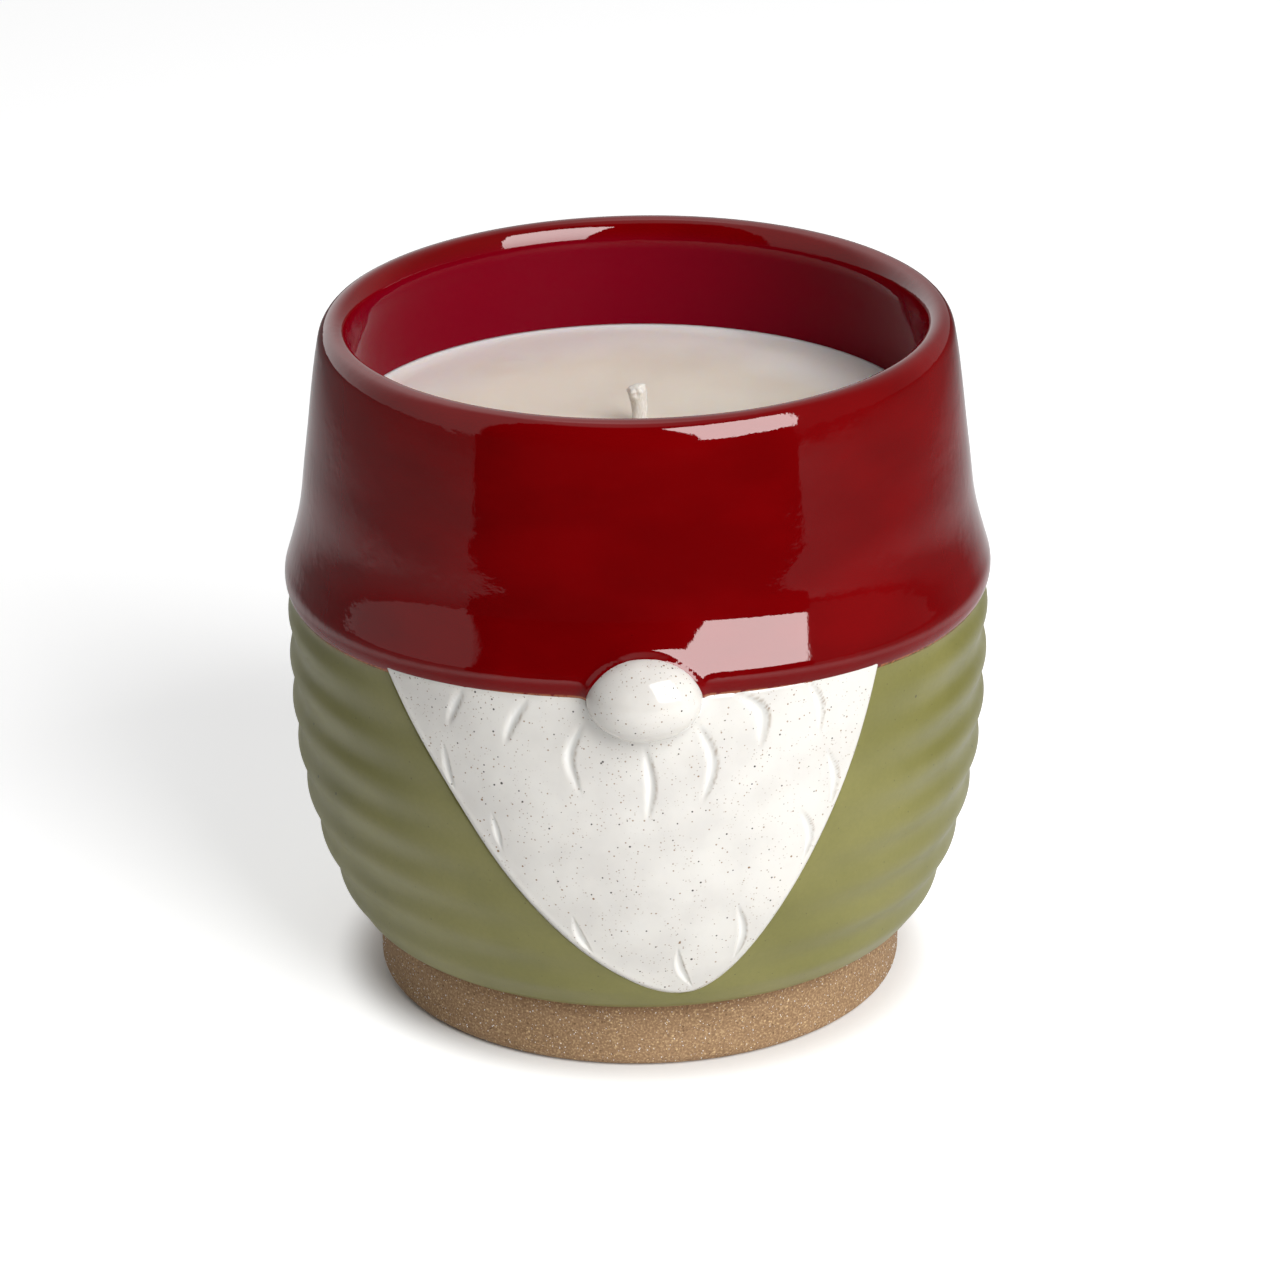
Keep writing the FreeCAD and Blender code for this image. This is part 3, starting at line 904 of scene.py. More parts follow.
# ---- the pot's shape ----------------------------------------------------------------------------
@dataclass(frozen=True)
class PotShape:
    """The pot's outlines, over the glaze, and the small lean that its hat has."""

    brim_radius: float
    lip_top: float
    hat_start: float
    foot_radius: float
    foot_height: float
    floor: float
    glaze: float = 0.45
    belly_radius: float = 49.35
    belly_height: float = 52.0
    turn_in_height: float = 13.0
    turn_in_drop: float = 7.15
    belly_power: float = 2.6
    inner_radius: float = 44.5
    lip_centre: float = 42.1
    lip_radius: float = 1.7
    shoulder_radius: float = 4.0
    lean_right: float = 0.0115
    lean_back: float = 0.008
    lean_start: float = 14.0
    lean_full: float = 70.0
    brim_rise: float = 2.7
    brim_swell: float = 0.4
    brim_spread: float = 44.0

    @classmethod
    def from_frame(cls) -> "PotShape":
        """Reads the pot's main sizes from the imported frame."""
        low, high = (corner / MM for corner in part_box("hat_glaze"))
        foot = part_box("foot")[1] / MM
        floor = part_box("wick_sticker")[0].z / MM
        return cls(high.x, high.z, low.z, foot.x, foot.z, floor)

    @property
    def lip_height(self) -> float:
        """The height of the lip's centre, midway between its high and low sides."""
        slope = math.hypot(self.lean_right, self.lean_back)
        return self.lip_top - self.lip_radius - slope * (self.lip_centre + self.lip_radius)

    def bowl_radius(self, height: np.ndarray) -> np.ndarray:
        """The bowl's smooth outside."""
        below = np.clip(self.belly_height - height, 0.0, None) / (self.belly_height - self.turn_in_height)
        return self.belly_radius - self.turn_in_drop * below**self.belly_power

    def hat_outline(self, count: int) -> np.ndarray:
        """The hat's outline from under its brim, up its flare and wall, over the lip and down to its join.

        Args:
            count: how many points it has.

        Returns:
            Radius and height of each point.
        """
        top, brim, lip = self.lip_height, self.brim_radius, self.lip_radius
        outside = [
            (brim - 1.3, 59.2),
            (brim - 0.95, 59.15),
            (brim - 0.55, 59.6),
            (brim - 0.16, 60.5),
            (brim, 61.5),
            (brim - 0.08, 62.6),
            (brim - 0.42, 63.8),
            (brim - 1.05, 65.9),
            (brim - 1.8, 68.6),
            (brim - 2.42, 71.5),
            (brim - 3.0, 75.9),
            (brim - 3.65, 81.2),
            (brim - 4.3, 86.5),
            (brim - 4.95, 91.6),
        ]
        middle = np.array([self.lip_centre, top])
        meet = np.array([math.cos(0.73), math.sin(0.73)]) * (self.shoulder_radius - lip)
        outer = arc(middle - meet, self.shoulder_radius, [8.0, 19.0, 30.0])
        crest = arc(middle, lip, np.linspace(42.0, 138.0, 5))
        inner = arc(middle + meet * (1, -1), self.shoulder_radius, [150.0, 161.0, 172.0])
        over = joined(outer, crest, inner)
        inside = [(40.15, 92.5), (40.6, 88.5), (41.3, 82.3), (42.3, 75.0), (43.7, 66.0)]
        return spline(joined(outside, over, inside, [(self.inner_radius, self.hat_start)]), count)

    def bowl_side(self, low: float, high: float, count: int) -> np.ndarray:
        """Radius and height up the bowl's smooth outside."""
        heights = np.linspace(low, high, count)
        return np.stack([self.bowl_radius(heights), heights], axis=1)

    def bowl_underside(self, count: int) -> np.ndarray:
        """Radius and height from the foot out to where the bowl turns up."""
        edge = float(self.bowl_radius(np.array(self.turn_in_height)))
        start = (self.foot_radius + 0.35, self.foot_height)
        points = [start, (self.foot_radius + 1.5, 10.35), (edge - 1.15, 11.35), (edge, self.turn_in_height)]
        return spline(points, count)

    def bowl_inside(self, count: int) -> np.ndarray:
        """Radius and height from the hat's join down the bowl's inner wall to the edge of its floor."""
        start = (self.inner_radius, self.hat_start)
        points = [start, (44.4, 49.0), (43.9, 38.0), (41.6, 26.5), (36.5, 17.6), (28.0, self.floor)]
        return spline(points, count)

    def leaned(self, points: np.ndarray) -> np.ndarray:
        """The points after the wall has leaned: right and back up, left and front down, more so higher up."""
        moved = points.copy()
        slope = self.lean_right * points[:, 0] + self.lean_back * points[:, 1]
        moved[:, 2] += slope * smoothstep(points[:, 2], self.lean_start, self.lean_full)
        return moved

    def lifted(self, points: np.ndarray) -> np.ndarray:
        """A hat's points after its brim has been eased up and out over the beard.

        Args:
            points: the points before.

        Returns:
            The points after.
        """
        moved = points.copy()
        front = np.exp(-((np.degrees(wrap_angle(points)) / self.brim_spread) ** 2))
        brim = smoothstep(-points[:, 2], -74.0, -62.0) * smoothstep(distance_out(points), 46.0, 48.0)
        moved[:, 2] += self.brim_rise * front * brim
        moved[:, :2] *= (1 + self.brim_swell * front * brim / self.brim_radius)[:, None]
        return moved


def install(obj: bpy.types.Object, slot: Slot, material: bpy.types.Material, *nodes: str) -> None:
    """Dresses a piece and fixes it to the frame.

    Args:
        obj: the piece.
        slot: the record's slot that it takes its finish from; it is not used.
        material: its material.
        nodes: the frame's nodes that it stands for.
    """
    obj.data.materials.clear()
    obj.data.materials.append(material)
    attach(obj, BODY)
    if nodes:
        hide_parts(*nodes)
    log.info("%s: %d faces, stands for %s", obj.name, len(obj.data.polygons), ", ".join(nodes) or "nothing")


# ---- foot ---------------------------------------------------------------------------------------
@dataclass
class Foot:
    """The bare clay foot, with its turning lines and grog."""

    shape: PotShape
    edge: float = 1.6
    groove_radius: float = 30.5
    groove_width: float = 1.6
    groove_depth: float = 0.8
    line_pitch: float = 0.9
    line_depth: float = 0.07
    line_wobble: float = 0.5

    def outline(self) -> np.ndarray:
        """Radius and height from the middle of the underside, out, up and back to the axis."""
        radius, top = self.shape.foot_radius, self.shape.foot_height
        half = self.groove_width / 2
        groove = arc((self.groove_radius, 0.0), (half, self.groove_depth), np.linspace(180.0, 0.0, 9))
        corner = arc((radius - self.edge, self.edge), self.edge, np.linspace(-90.0, 0.0, 9))
        wall = upright(radius, np.linspace(self.edge, top, 45)[1:])
        under = np.stack([np.linspace(0.0, self.groove_radius - half, 20), np.zeros(20)], axis=1)
        return joined(under, groove[1:], corner, wall, [(radius * 0.6, top), (0.0, top)])

    def build(self) -> None:
        """Makes the foot and its grains."""
        foot = lathe("foot_clay", self.outline(), turn_angles(120, 200, 60.0), False)
        place = points_of(foot)
        wall = smoothstep(distance_out(place), self.shape.foot_radius - 1.0, self.shape.foot_radius - 0.2)
        wall *= smoothstep(place[:, 2], 0.3, 1.5) * smoothstep(-place[:, 2], -self.shape.foot_height, -9.2)
        set_attribute(foot, "rings", wall)
        set_attribute(foot, "grog", wall)
        throwing_rings(foot, self.line_pitch, self.line_depth, 0.0, self.line_wobble)
        place = points_of(foot)
        shrink = np.minimum(1.0, self.shape.foot_radius / np.maximum(distance_out(place), 1e-6))
        place[:, :2] *= shrink[:, None]
        move_points(foot, place)
        grains = scatter_grains("foot_grog", foot, Grog().material(), seed=7)
        install(foot, Slot.BARE, BareClay().material(), "foot")
        install(grains, Slot.BARE, grains.data.materials[0])


# ---- beard --------------------------------------------------------------------------------------
@dataclass(frozen=True)
class Nick:
    """One leaf-shaped cut in the beard: its ends and middle as sideways place and height, and its size."""

    start: tuple[float, float]
    middle: tuple[float, float]
    end: tuple[float, float]
    width: float = 2.0
    depth: float = 0.5


@dataclass
class Beard:
    """The beard's outline, its raised and rounded face, and the cuts in it."""

    shape: PotShape
    rise: float = 0.56
    edge: float = 0.8
    pillow: float = 0.25
    bead: float = 0.05
    coat_depth: float = 0.3
    root: float = 0.8
    top: float = 63.6
    tuck_start: float = 61.0
    overlap: float = 0.12
    left: tuple = ((-34.9, 63.6), (-31.0, 55.2), (-25.7, 46.1), (-19.0, 35.4), (-9.1, 23.4), (-1.4, 17.0))
    tip: tuple = (6.7, 14.3)
    right: tuple = ((11.5, 17.4), (15.5, 22.3), (22.6, 34.2), (27.6, 45.2), (30.7, 54.8), (32.7, 63.6))
    nicks: tuple = (
        Nick((-23.1, 61.2), (-24.4, 58.5), (-25.2, 55.8), 1.7, 0.4),
        Nick((-14.6, 61.0), (-16.4, 58.2), (-17.6, 54.7), 1.7, 0.45),
        Nick((-7.4, 58.0), (-9.2, 53.2), (-7.9, 48.5), 1.9, 0.55),
        Nick((0.8, 54.3), (1.5, 49.6), (1.2, 44.9), 2.0, 0.6),
        Nick((8.0, 57.3), (9.6, 52.2), (8.5, 47.0), 2.0, 0.6),
        Nick((12.9, 61.4), (16.1, 58.4), (16.0, 54.0), 2.7, 0.75),
        Nick((22.4, 61.6), (23.9, 58.0), (24.0, 54.2), 1.8, 0.55),
        Nick((25.1, 50.6), (26.0, 47.2), (25.7, 43.3), 1.8, 0.5),
        Nick((21.6, 42.6), (22.7, 39.1), (22.1, 35.8), 1.7, 0.45),
        Nick((13.2, 28.8), (13.8, 24.9), (12.9, 20.9), 1.7, 0.45),
        Nick((5.1, 22.3), (5.4, 19.2), (6.7, 16.2), 1.6, 0.4),
        Nick((-8.8, 27.6), (-8.2, 25.2), (-6.8, 22.7), 1.6, 0.3),
        Nick((-19.4, 42.8), (-19.0, 40.6), (-18.5, 38.5), 1.4, 0.22),
        Nick((-25.8, 51.8), (-25.6, 49.2), (-24.8, 46.5), 1.5, 0.25),
    )

    def outline(self, count: int = 900) -> np.ndarray:
        """The outline seen from the front, from its left top corner round the tip to its right top corner."""
        return spline(joined(self.left, [self.tip], self.right), count)

    def sides(self, heights: np.ndarray) -> tuple[np.ndarray, np.ndarray]:
        """The angles round the pot of the outline's two sides.

        Args:
            heights: the heights at which they are wanted.

        Returns:
            The left side's angles and the right side's.
        """
        line = self.outline()
        lowest = int(np.argmin(line[:, 1]))
        radius = self.shape.bowl_radius(heights)
        found = []
        for side in (line[: lowest + 1][::-1], line[lowest:]):
            across = np.interp(heights, side[:, 1], side[:, 0])
            found.append(np.arcsin(across / radius))
        return found[0], found[1]

    def lowest(self) -> float:
        """The height of the outline's tip."""
        return float(self.outline()[:, 1].min())

    def heights(self, count: int) -> np.ndarray:
        """Heights from the tip to the top, closer together at the tip."""
        share = np.linspace(0.0, 1.0, count)
        return self.lowest() + (self.top - self.lowest()) * (0.25 * share + 0.75 * share**2)

    def flat(self, angle: np.ndarray, height: np.ndarray) -> np.ndarray:
        """Places on the unrolled face: distance round the pot and height."""
        return np.stack([angle * self.shape.bowl_radius(height), height], axis=-1)

    def edge_distance(self, flat: np.ndarray) -> np.ndarray:
        """How far places on the unrolled face are from the outline's sides.

        Args:
            flat: the places.

        Returns:
            The distances, in millimetres.
        """
        line = self.outline(400)
        bent = self.flat(np.arcsin(line[:, 0] / self.shape.bowl_radius(line[:, 1])), line[:, 1])
        start, run = bent[:-1], np.diff(bent, axis=0)
        best = np.full(len(flat), np.inf)
        for point, step in zip(start, run):
            away = flat - point
            share = np.clip(away @ step / (step @ step), 0.0, 1.0)
            best = np.minimum(best, np.hypot(*(away - share[:, None] * step).T))
        return best

    def cuts(self, flat: np.ndarray) -> tuple[np.ndarray, np.ndarray, np.ndarray]:
        """The nicks' depth at each place, how much glaze has pooled there, and the brown along each nick's
        right rim, partly broken glaze, partly painted shade.

        Args:
            flat: places on the unrolled face.

        Returns:
            Depth in millimetres, and the two shares from 0 to 1.
        """
        depth, whitened, broken_and_shaded = (np.zeros(len(flat)) for _ in range(3))
        for nick in self.nicks:
            ends = np.array([nick.start, nick.middle, nick.end])
            bent = self.flat(np.arcsin(ends[:, 0] / self.shape.bowl_radius(ends[:, 1])), ends[:, 1])
            line = spline(bent, 25)
            near = np.hypot(*(flat - bent[1]).T) < np.hypot(*(bent[0] - bent[2])) + nick.width
            spots = flat[near]
            gap = spots[:, None, :] - line[None, :, :]
            closest = np.argmin(np.hypot(gap[..., 0], gap[..., 1]), axis=1)
            along = np.gradient(line, axis=0)[closest]
            along /= np.linalg.norm(along, axis=1)[:, None]
            miss = gap[np.arange(len(spots)), closest]
            side = miss[:, 1] * along[:, 0] - miss[:, 0] * along[:, 1]
            over = np.abs(miss[:, 0] * along[:, 0] + miss[:, 1] * along[:, 1])
            share = closest / (len(line) - 1)
            swell = np.clip(np.sin(math.pi * np.clip(0.04 + 0.92 * share, 0.0, 1.0)), 0.0, 1.0)
            half = 0.42 * nick.width * swell**0.5 + 1e-6
            across = side / half
            trough = np.clip(1 - across**2, 0.0, 1.0) ** 1.4 * (1 + 0.25 * across)
            trough *= np.exp(-((over / 0.5) ** 2))
            lip = np.exp(-(((np.abs(across) - 1.12) / 0.22) ** 2)) * swell * np.exp(-((over / 0.4) ** 2))
            depth[near] = np.maximum(depth[near], nick.depth * swell**0.5 * trough)
            depth[near] -= 0.09 * nick.depth * lip
            whitened[near] = np.maximum(whitened[near], smoothstep(trough, 0.12, 0.5) * swell)
            # Brown on the right rim only: partly glaze broken thin to clay, partly painted shade on the wall
            # that faces away from the key light.
            shaded_rim_break = np.exp(-(((across - 1.0) / 0.16) ** 2)) * swell * np.exp(-((over / 0.4) ** 2))
            broken_and_shaded[near] = np.maximum(broken_and_shaded[near], shaded_rim_break * min(1.0, 1.8 * nick.depth))
        return depth, whitened, broken_and_shaded

    def face(self, rows: int, columns: int, inset: float, nose: "Nose") -> dict[str, np.ndarray]:
        """The beard's raised face.

        Args:
            rows: how many heights it has points at.
            columns: how many points each height has.
            inset: how far under the glaze it lies.
            nose: the nose that glaze has pooled round.

        Returns:
            Its points, row by row from the tip up, and two shares: whitened glaze, pooled in the nicks and a
            painted highlight along the rim, and brown nick rims, partly broken glaze and partly painted
            shade.
        """
        heights = self.heights(rows)
        left, right = self.sides(heights)
        spread = self.overlap / self.shape.bowl_radius(heights)
        share = 0.5 - 0.5 * np.cos(np.linspace(0.0, math.pi, columns))
        share = 0.55 * share + 0.45 * np.linspace(0.0, 1.0, columns)
        angle = (left - spread)[:, None] * (1 - share) + (right + spread)[:, None] * share
        angle, height = angle.ravel(), np.repeat(heights, columns)
        flat = self.flat(angle, height)
        inner = self.edge_distance(flat)
        row, column = np.divmod(np.arange(len(flat)), columns)
        inner[(column == 0) | (column == columns - 1) | (row == 0)] = 0.0
        depth, whitened, broken_and_shaded = self.cuts(flat)
        rounding = np.sqrt(np.clip(1 - (1 - np.clip(inner / self.edge, 0.0, 1.0)) ** 2, 0.0, 1.0))
        middle = (1 - np.exp(-((inner / 9.0) ** 2))) * smoothstep(-height, -56.0, -40.0)
        bead = self.bead * np.exp(-(((inner - self.edge) / (0.5 * self.edge)) ** 2))
        raised = self.rise * rounding + bead + self.pillow * middle - depth * rounding - inset
        raised -= 0.9 * smoothstep(height, self.tuck_start, self.top)
        radius = self.shape.bowl_radius(height)
        points = around(radius + np.maximum(raised, -0.4 - inset), angle, height)
        points += nose.fillet(points)[:, None] * around(1.0, angle, np.zeros_like(angle))
        # A paler line along the beard's very edge: a painted highlight where its rounded rim catches the
        # light.
        painted_rim_highlight = smoothstep(-inner, -0.5, -0.1)
        return {"points": points, "whitened": np.maximum(whitened, 0.35 * painted_rim_highlight), "broken_and_shaded": broken_and_shaded}

    def shell(
        self, name: str, outer: np.ndarray, inner: np.ndarray, grid: tuple[int, int]
    ) -> bpy.types.Object:
        """A closed sheet between two faces with the same grid of points, leaned with the wall."""
        return make_mesh(name, self.shape.leaned(np.vstack([outer, inner])), sheet_faces(*grid))

    def build(self, nose: "Nose", clay: bpy.types.Material, glaze: bpy.types.Material) -> None:
        """Makes the clay beard and its white coat.

        Args:
            nose: the nose that glaze has pooled round.
            clay: the clay's material.
            glaze: the coat's.
        """
        grid = (176, 256)
        skin = self.face(*grid, 0.0, nose)
        under = self.face(*grid, self.coat_depth, nose)
        coat = self.shell("beard_coat", skin["points"], under["points"], grid)
        self.copy_shares(coat, skin)
        install(coat, Slot.WHITE, glaze, "beard_glaze")
        grid = (80, 110)
        skin = self.face(*grid, self.coat_depth + 0.01, nose)["points"]
        base = around(self.shape.bowl_radius(skin[:, 2]) - self.root, wrap_angle(skin), skin[:, 2])
        install(self.shell("beard_clay", skin, base, grid), Slot.CLAY, clay, "beard")

    def copy_shares(self, coat: bpy.types.Object, skin: dict[str, np.ndarray]) -> None:
        """Gives the coat's points the face's shares there: whitened glaze, pooled and with a painted rim
        highlight, and brown nick rims, broken glaze and painted shade.

        Args:
            coat: the coat.
            skin: the face's points and shares.
        """
        places = self.shape.leaned(skin["points"])
        order = {tuple(place): i for i, place in enumerate(np.round(places, 3).tolist())}
        index = [order.get(tuple(place), -1) for place in np.round(points_of(coat), 3).tolist()]
        for name in ("whitened", "broken_and_shaded"):
            set_attribute(coat, name, np.append(skin[name], 0.0)[index])


# ---- nose ---------------------------------------------------------------------------------------
@dataclass
class Nose:
    """The egg-shaped nose, and the glaze that gathers round it."""

    shape: PotShape
    centre: tuple = (0.8, -49.7, 61.9)
    radii: tuple = (7.8, 5.6, 5.95)
    fillet_height: float = 0.75
    fillet_width: float = 0.75
    flattening: float = 0.1
    mean_radius: float = 6.3

    def fillet(self, points: np.ndarray) -> np.ndarray:
        """How far a wall's surface is lifted where glaze has gathered round the nose.

        Args:
            points: the wall's points.

        Returns:
            The distances, in millimetres.
        """
        away = points - np.array(self.centre)
        spread = np.hypot(away[:, 0] / self.radii[0], away[:, 2] / self.radii[2])
        gap = (spread - 1.0) * self.mean_radius
        near = np.exp(-np.clip(gap, 0.0, None) / self.fillet_width)
        front = smoothstep(-points[:, 1], 30.0, 44.0)
        return self.fillet_height * near**1.6 * front * (gap > -3.0)

    def egg(self, name: str, inset: float) -> bpy.types.Object:
        """The nose's own closed shape.

        Args:
            name: the object's name.
            inset: how far under the glaze it lies.

        Returns:
            The object.
        """
        sheet = bmesh.new()
        bmesh.ops.create_icosphere(sheet, subdivisions=6, radius=1.0)
        mesh = bpy.data.meshes.new(name)
        sheet.to_mesh(mesh)
        sheet.free()
        obj = add_object(name, mesh)
        unit = points_of(obj) * MM
        across, up = unit[:, 0], unit[:, 2]
        dent = 0.10 * np.sin(2.1 * across + 0.6) * np.cos(2.4 * up) + 0.05 * np.sin(5.0 * across)
        shaped = unit * (np.array(self.radii) - inset) * (0.988 - dent / 12.0)[:, None]
        shaped[:, 2] += self.flattening * (1 - across**2) * (up < 0) * up**2
        move_points(obj, self.shape.leaned(shaped + np.array(self.centre)))
        seal(obj)
        return obj

    def build(self, clay: bpy.types.Material, glaze: bpy.types.Material) -> None:
        """Makes the clay nose and its white coat."""
        coat = self.egg("nose_coat", 0.0)
        for name in ("whitened", "broken_and_shaded"):
            set_attribute(coat, name, np.zeros(len(coat.data.vertices)))
        install(coat, Slot.WHITE, glaze, "nose_glaze")
        install(self.egg("nose_clay", self.shape.glaze), Slot.CLAY, clay, "nose")


# ---- bowl ---------------------------------------------------------------------------------------
@dataclass
class Bowl:
    """The ribbed bowl with its green coat outside and red coat inside."""

    shape: PotShape
    beard: Beard
    rib_pitch: float = 6.85
    rib_depth: float = 0.75
    first_crest: float = 14.7
    rib_wobble: float = 0.9
    tucked: float = 61.0
    fade: float = 24.0

    def mark_ribs(self, obj: bpy.types.Object) -> None:
        """Says how deep the ribs are: full on the open wall, faint beside the beard, none below.

        Args:
            obj: the wall.
        """
        place = points_of(obj)
        angle, height = wrap_angle(place), place[:, 2]
        left, right = self.beard.sides(np.clip(height, self.beard.lowest() + 0.01, self.beard.top))
        away = np.maximum(np.maximum(left - angle, angle - right), 0.0) * self.shape.belly_radius
        beside = 0.15 + 0.85 * smoothstep(away, 0.0, self.fade)
        below = smoothstep(height, 10.5, 15.0)
        outside = smoothstep(distance_out(place), self.shape.foot_radius, self.shape.foot_radius + 2)
        set_attribute(obj, "rings", beside * below * outside)

    def green_coat(self) -> bpy.types.Object:
        """The green coat, with the beard's outline let into it."""
        under = self.shape.bowl_underside(14)
        side = self.shape.bowl_side(self.shape.turn_in_height, self.tucked, 118)
        rows = joined(under, side[1:])
        inner = offset(rows, self.shape.glaze)
        inner[:, 1] = np.clip(inner[:, 1], self.shape.foot_height, self.tucked)
        lowest = self.beard.lowest()
        left, right = self.beard.sides(np.clip(rows[:, 1], lowest, self.beard.top))
        share = np.linspace(0.0, 1.0, 300)[None, :]
        angle = right[:, None] + (left + math.tau - right)[:, None] * share
        outer_points = around(rows[:, :1], angle, rows[:, 1:]).reshape(-1, 3)
        inner_points = around(inner[:, :1], angle, inner[:, 1:]).reshape(-1, 3)
        first_open = int(np.argmax(rows[:, 1] > lowest)) - 1
        faces = sheet_faces(*angle.shape, first_open)
        return make_mesh("body_coat", np.vstack([outer_points, inner_points]), faces)

    def wall_outline(self) -> np.ndarray:
        """The clay bowl's outline from the middle of its underside round to the middle of its floor."""
        shape = self.shape
        side = shape.bowl_side(shape.turn_in_height, shape.hat_start, 80)
        skin = offset(joined(shape.bowl_underside(8), side[1:]), shape.glaze)
        skin[:, 1] = np.clip(skin[:, 1], shape.foot_height, shape.hat_start)
        inside = offset(shape.bowl_inside(40), shape.glaze)
        return joined([(0.0, shape.foot_height)], skin, inside, [(0.0, shape.floor - shape.glaze)])

    def inner_outline(self) -> np.ndarray:
        """The red coat inside the bowl: down its face, then back up behind it."""
        face = self.shape.bowl_inside(50)
        back = offset(face, self.shape.glaze)[::-1]
        floor, under = (0.0, self.shape.floor), (0.0, self.shape.floor - self.shape.glaze)
        return joined([under], back, face, [floor])

    def finish_wall(self, obj: bpy.types.Object) -> None:
        """Presses the ribs and leans the wall."""
        self.mark_ribs(obj)
        throwing_rings(obj, self.rib_pitch, self.rib_depth, self.first_crest, self.rib_wobble)
        move_points(obj, self.shape.leaned(points_of(obj)))

    def build(self, clay: bpy.types.Material, red: bpy.types.Material) -> None:
        """Makes the clay bowl and its two coats.

        Args:
            clay: the clay's material.
            red: the inner coat's.
        """
        coat = self.green_coat()
        self.finish_wall(coat)
        install(coat, Slot.GREEN, GreenGlaze().material(), "body_glaze")
        wall = lathe("bowl_clay", self.wall_outline(), turn_angles(60, 120, 50.0), False)
        self.finish_wall(wall)
        install(wall, Slot.CLAY, clay, "bowl")
        lining = lathe("inner_coat", self.inner_outline(), turn_angles(60, 120, 50.0), False)
        move_points(lining, self.shape.leaned(points_of(lining)))
        install(lining, Slot.RED, red, "inner_glaze")


# ---- hat ----------------------------------------------------------------------------------------
@dataclass
class Hat:
    """The flared hat wall with its rolled brim, round lip and red coat."""

    shape: PotShape
    nose: Nose
    outline_points: int = 150
    ring_pitch: float = 8.3
    ring_depth: float = 0.012
    ring_crest: float = 70.0
    ring_wobble: float = 2.0
    brim_inside: float = 46.0
    brim_height: float = 3.1
    fillet_from: float = 47.2

    def ring_outline(self, outer: float, inner: float) -> np.ndarray:
        """A closed loop between the hat's outline set in by two amounts."""
        line = self.shape.hat_outline(self.outline_points)
        skin, back = offset(line, outer), offset(line, inner)
        return joined(skin, back[::-1])

    def finish_wall(self, obj: bpy.types.Object) -> None:
        """Presses faint throwing rings, gathers glaze round the nose and leans the wall.

        Args:
            obj: the wall.
        """
        place = points_of(obj)
        out = distance_out(place)
        set_attribute(obj, "rings", smoothstep(out, 43.0, 44.5) * smoothstep(place[:, 2], 64.0, 72.0))
        brim = out > self.brim_inside
        lowest = float(place[brim, 2].min())
        set_attribute(obj, "low", np.clip(1.0 - (place[:, 2] - lowest) / self.brim_height, 0.0, 1.0) * brim)
        throwing_rings(obj, self.ring_pitch, self.ring_depth, self.ring_crest, self.ring_wobble)
        place = self.shape.lifted(points_of(obj))
        out = distance_out(place)
        outward = place / np.maximum(out, 1.0)[:, None]
        outward[:, 2] = 0.0
        place += (self.nose.fillet(place) * (out > self.fillet_from))[:, None] * outward
        move_points(obj, self.shape.leaned(place))

    def build(self, clay: bpy.types.Material, red: bpy.types.Material) -> None:
        """Makes the clay hat and its red coat.

        Args:
            clay: the clay's material.
            red: the coat's.
        """
        coat = lathe("hat_coat", self.ring_outline(0.0, self.shape.glaze), turn_angles(96, 226, 16.0), True)
        self.finish_wall(coat)
        install(coat, Slot.RED, red, "hat_glaze")
        line = offset(self.shape.hat_outline(self.outline_points), self.shape.glaze)
        wall = lathe("hat_clay", line, turn_angles(60, 140, 16.0), True)
        self.finish_wall(wall)
        install(wall, Slot.CLAY, clay, "hat")


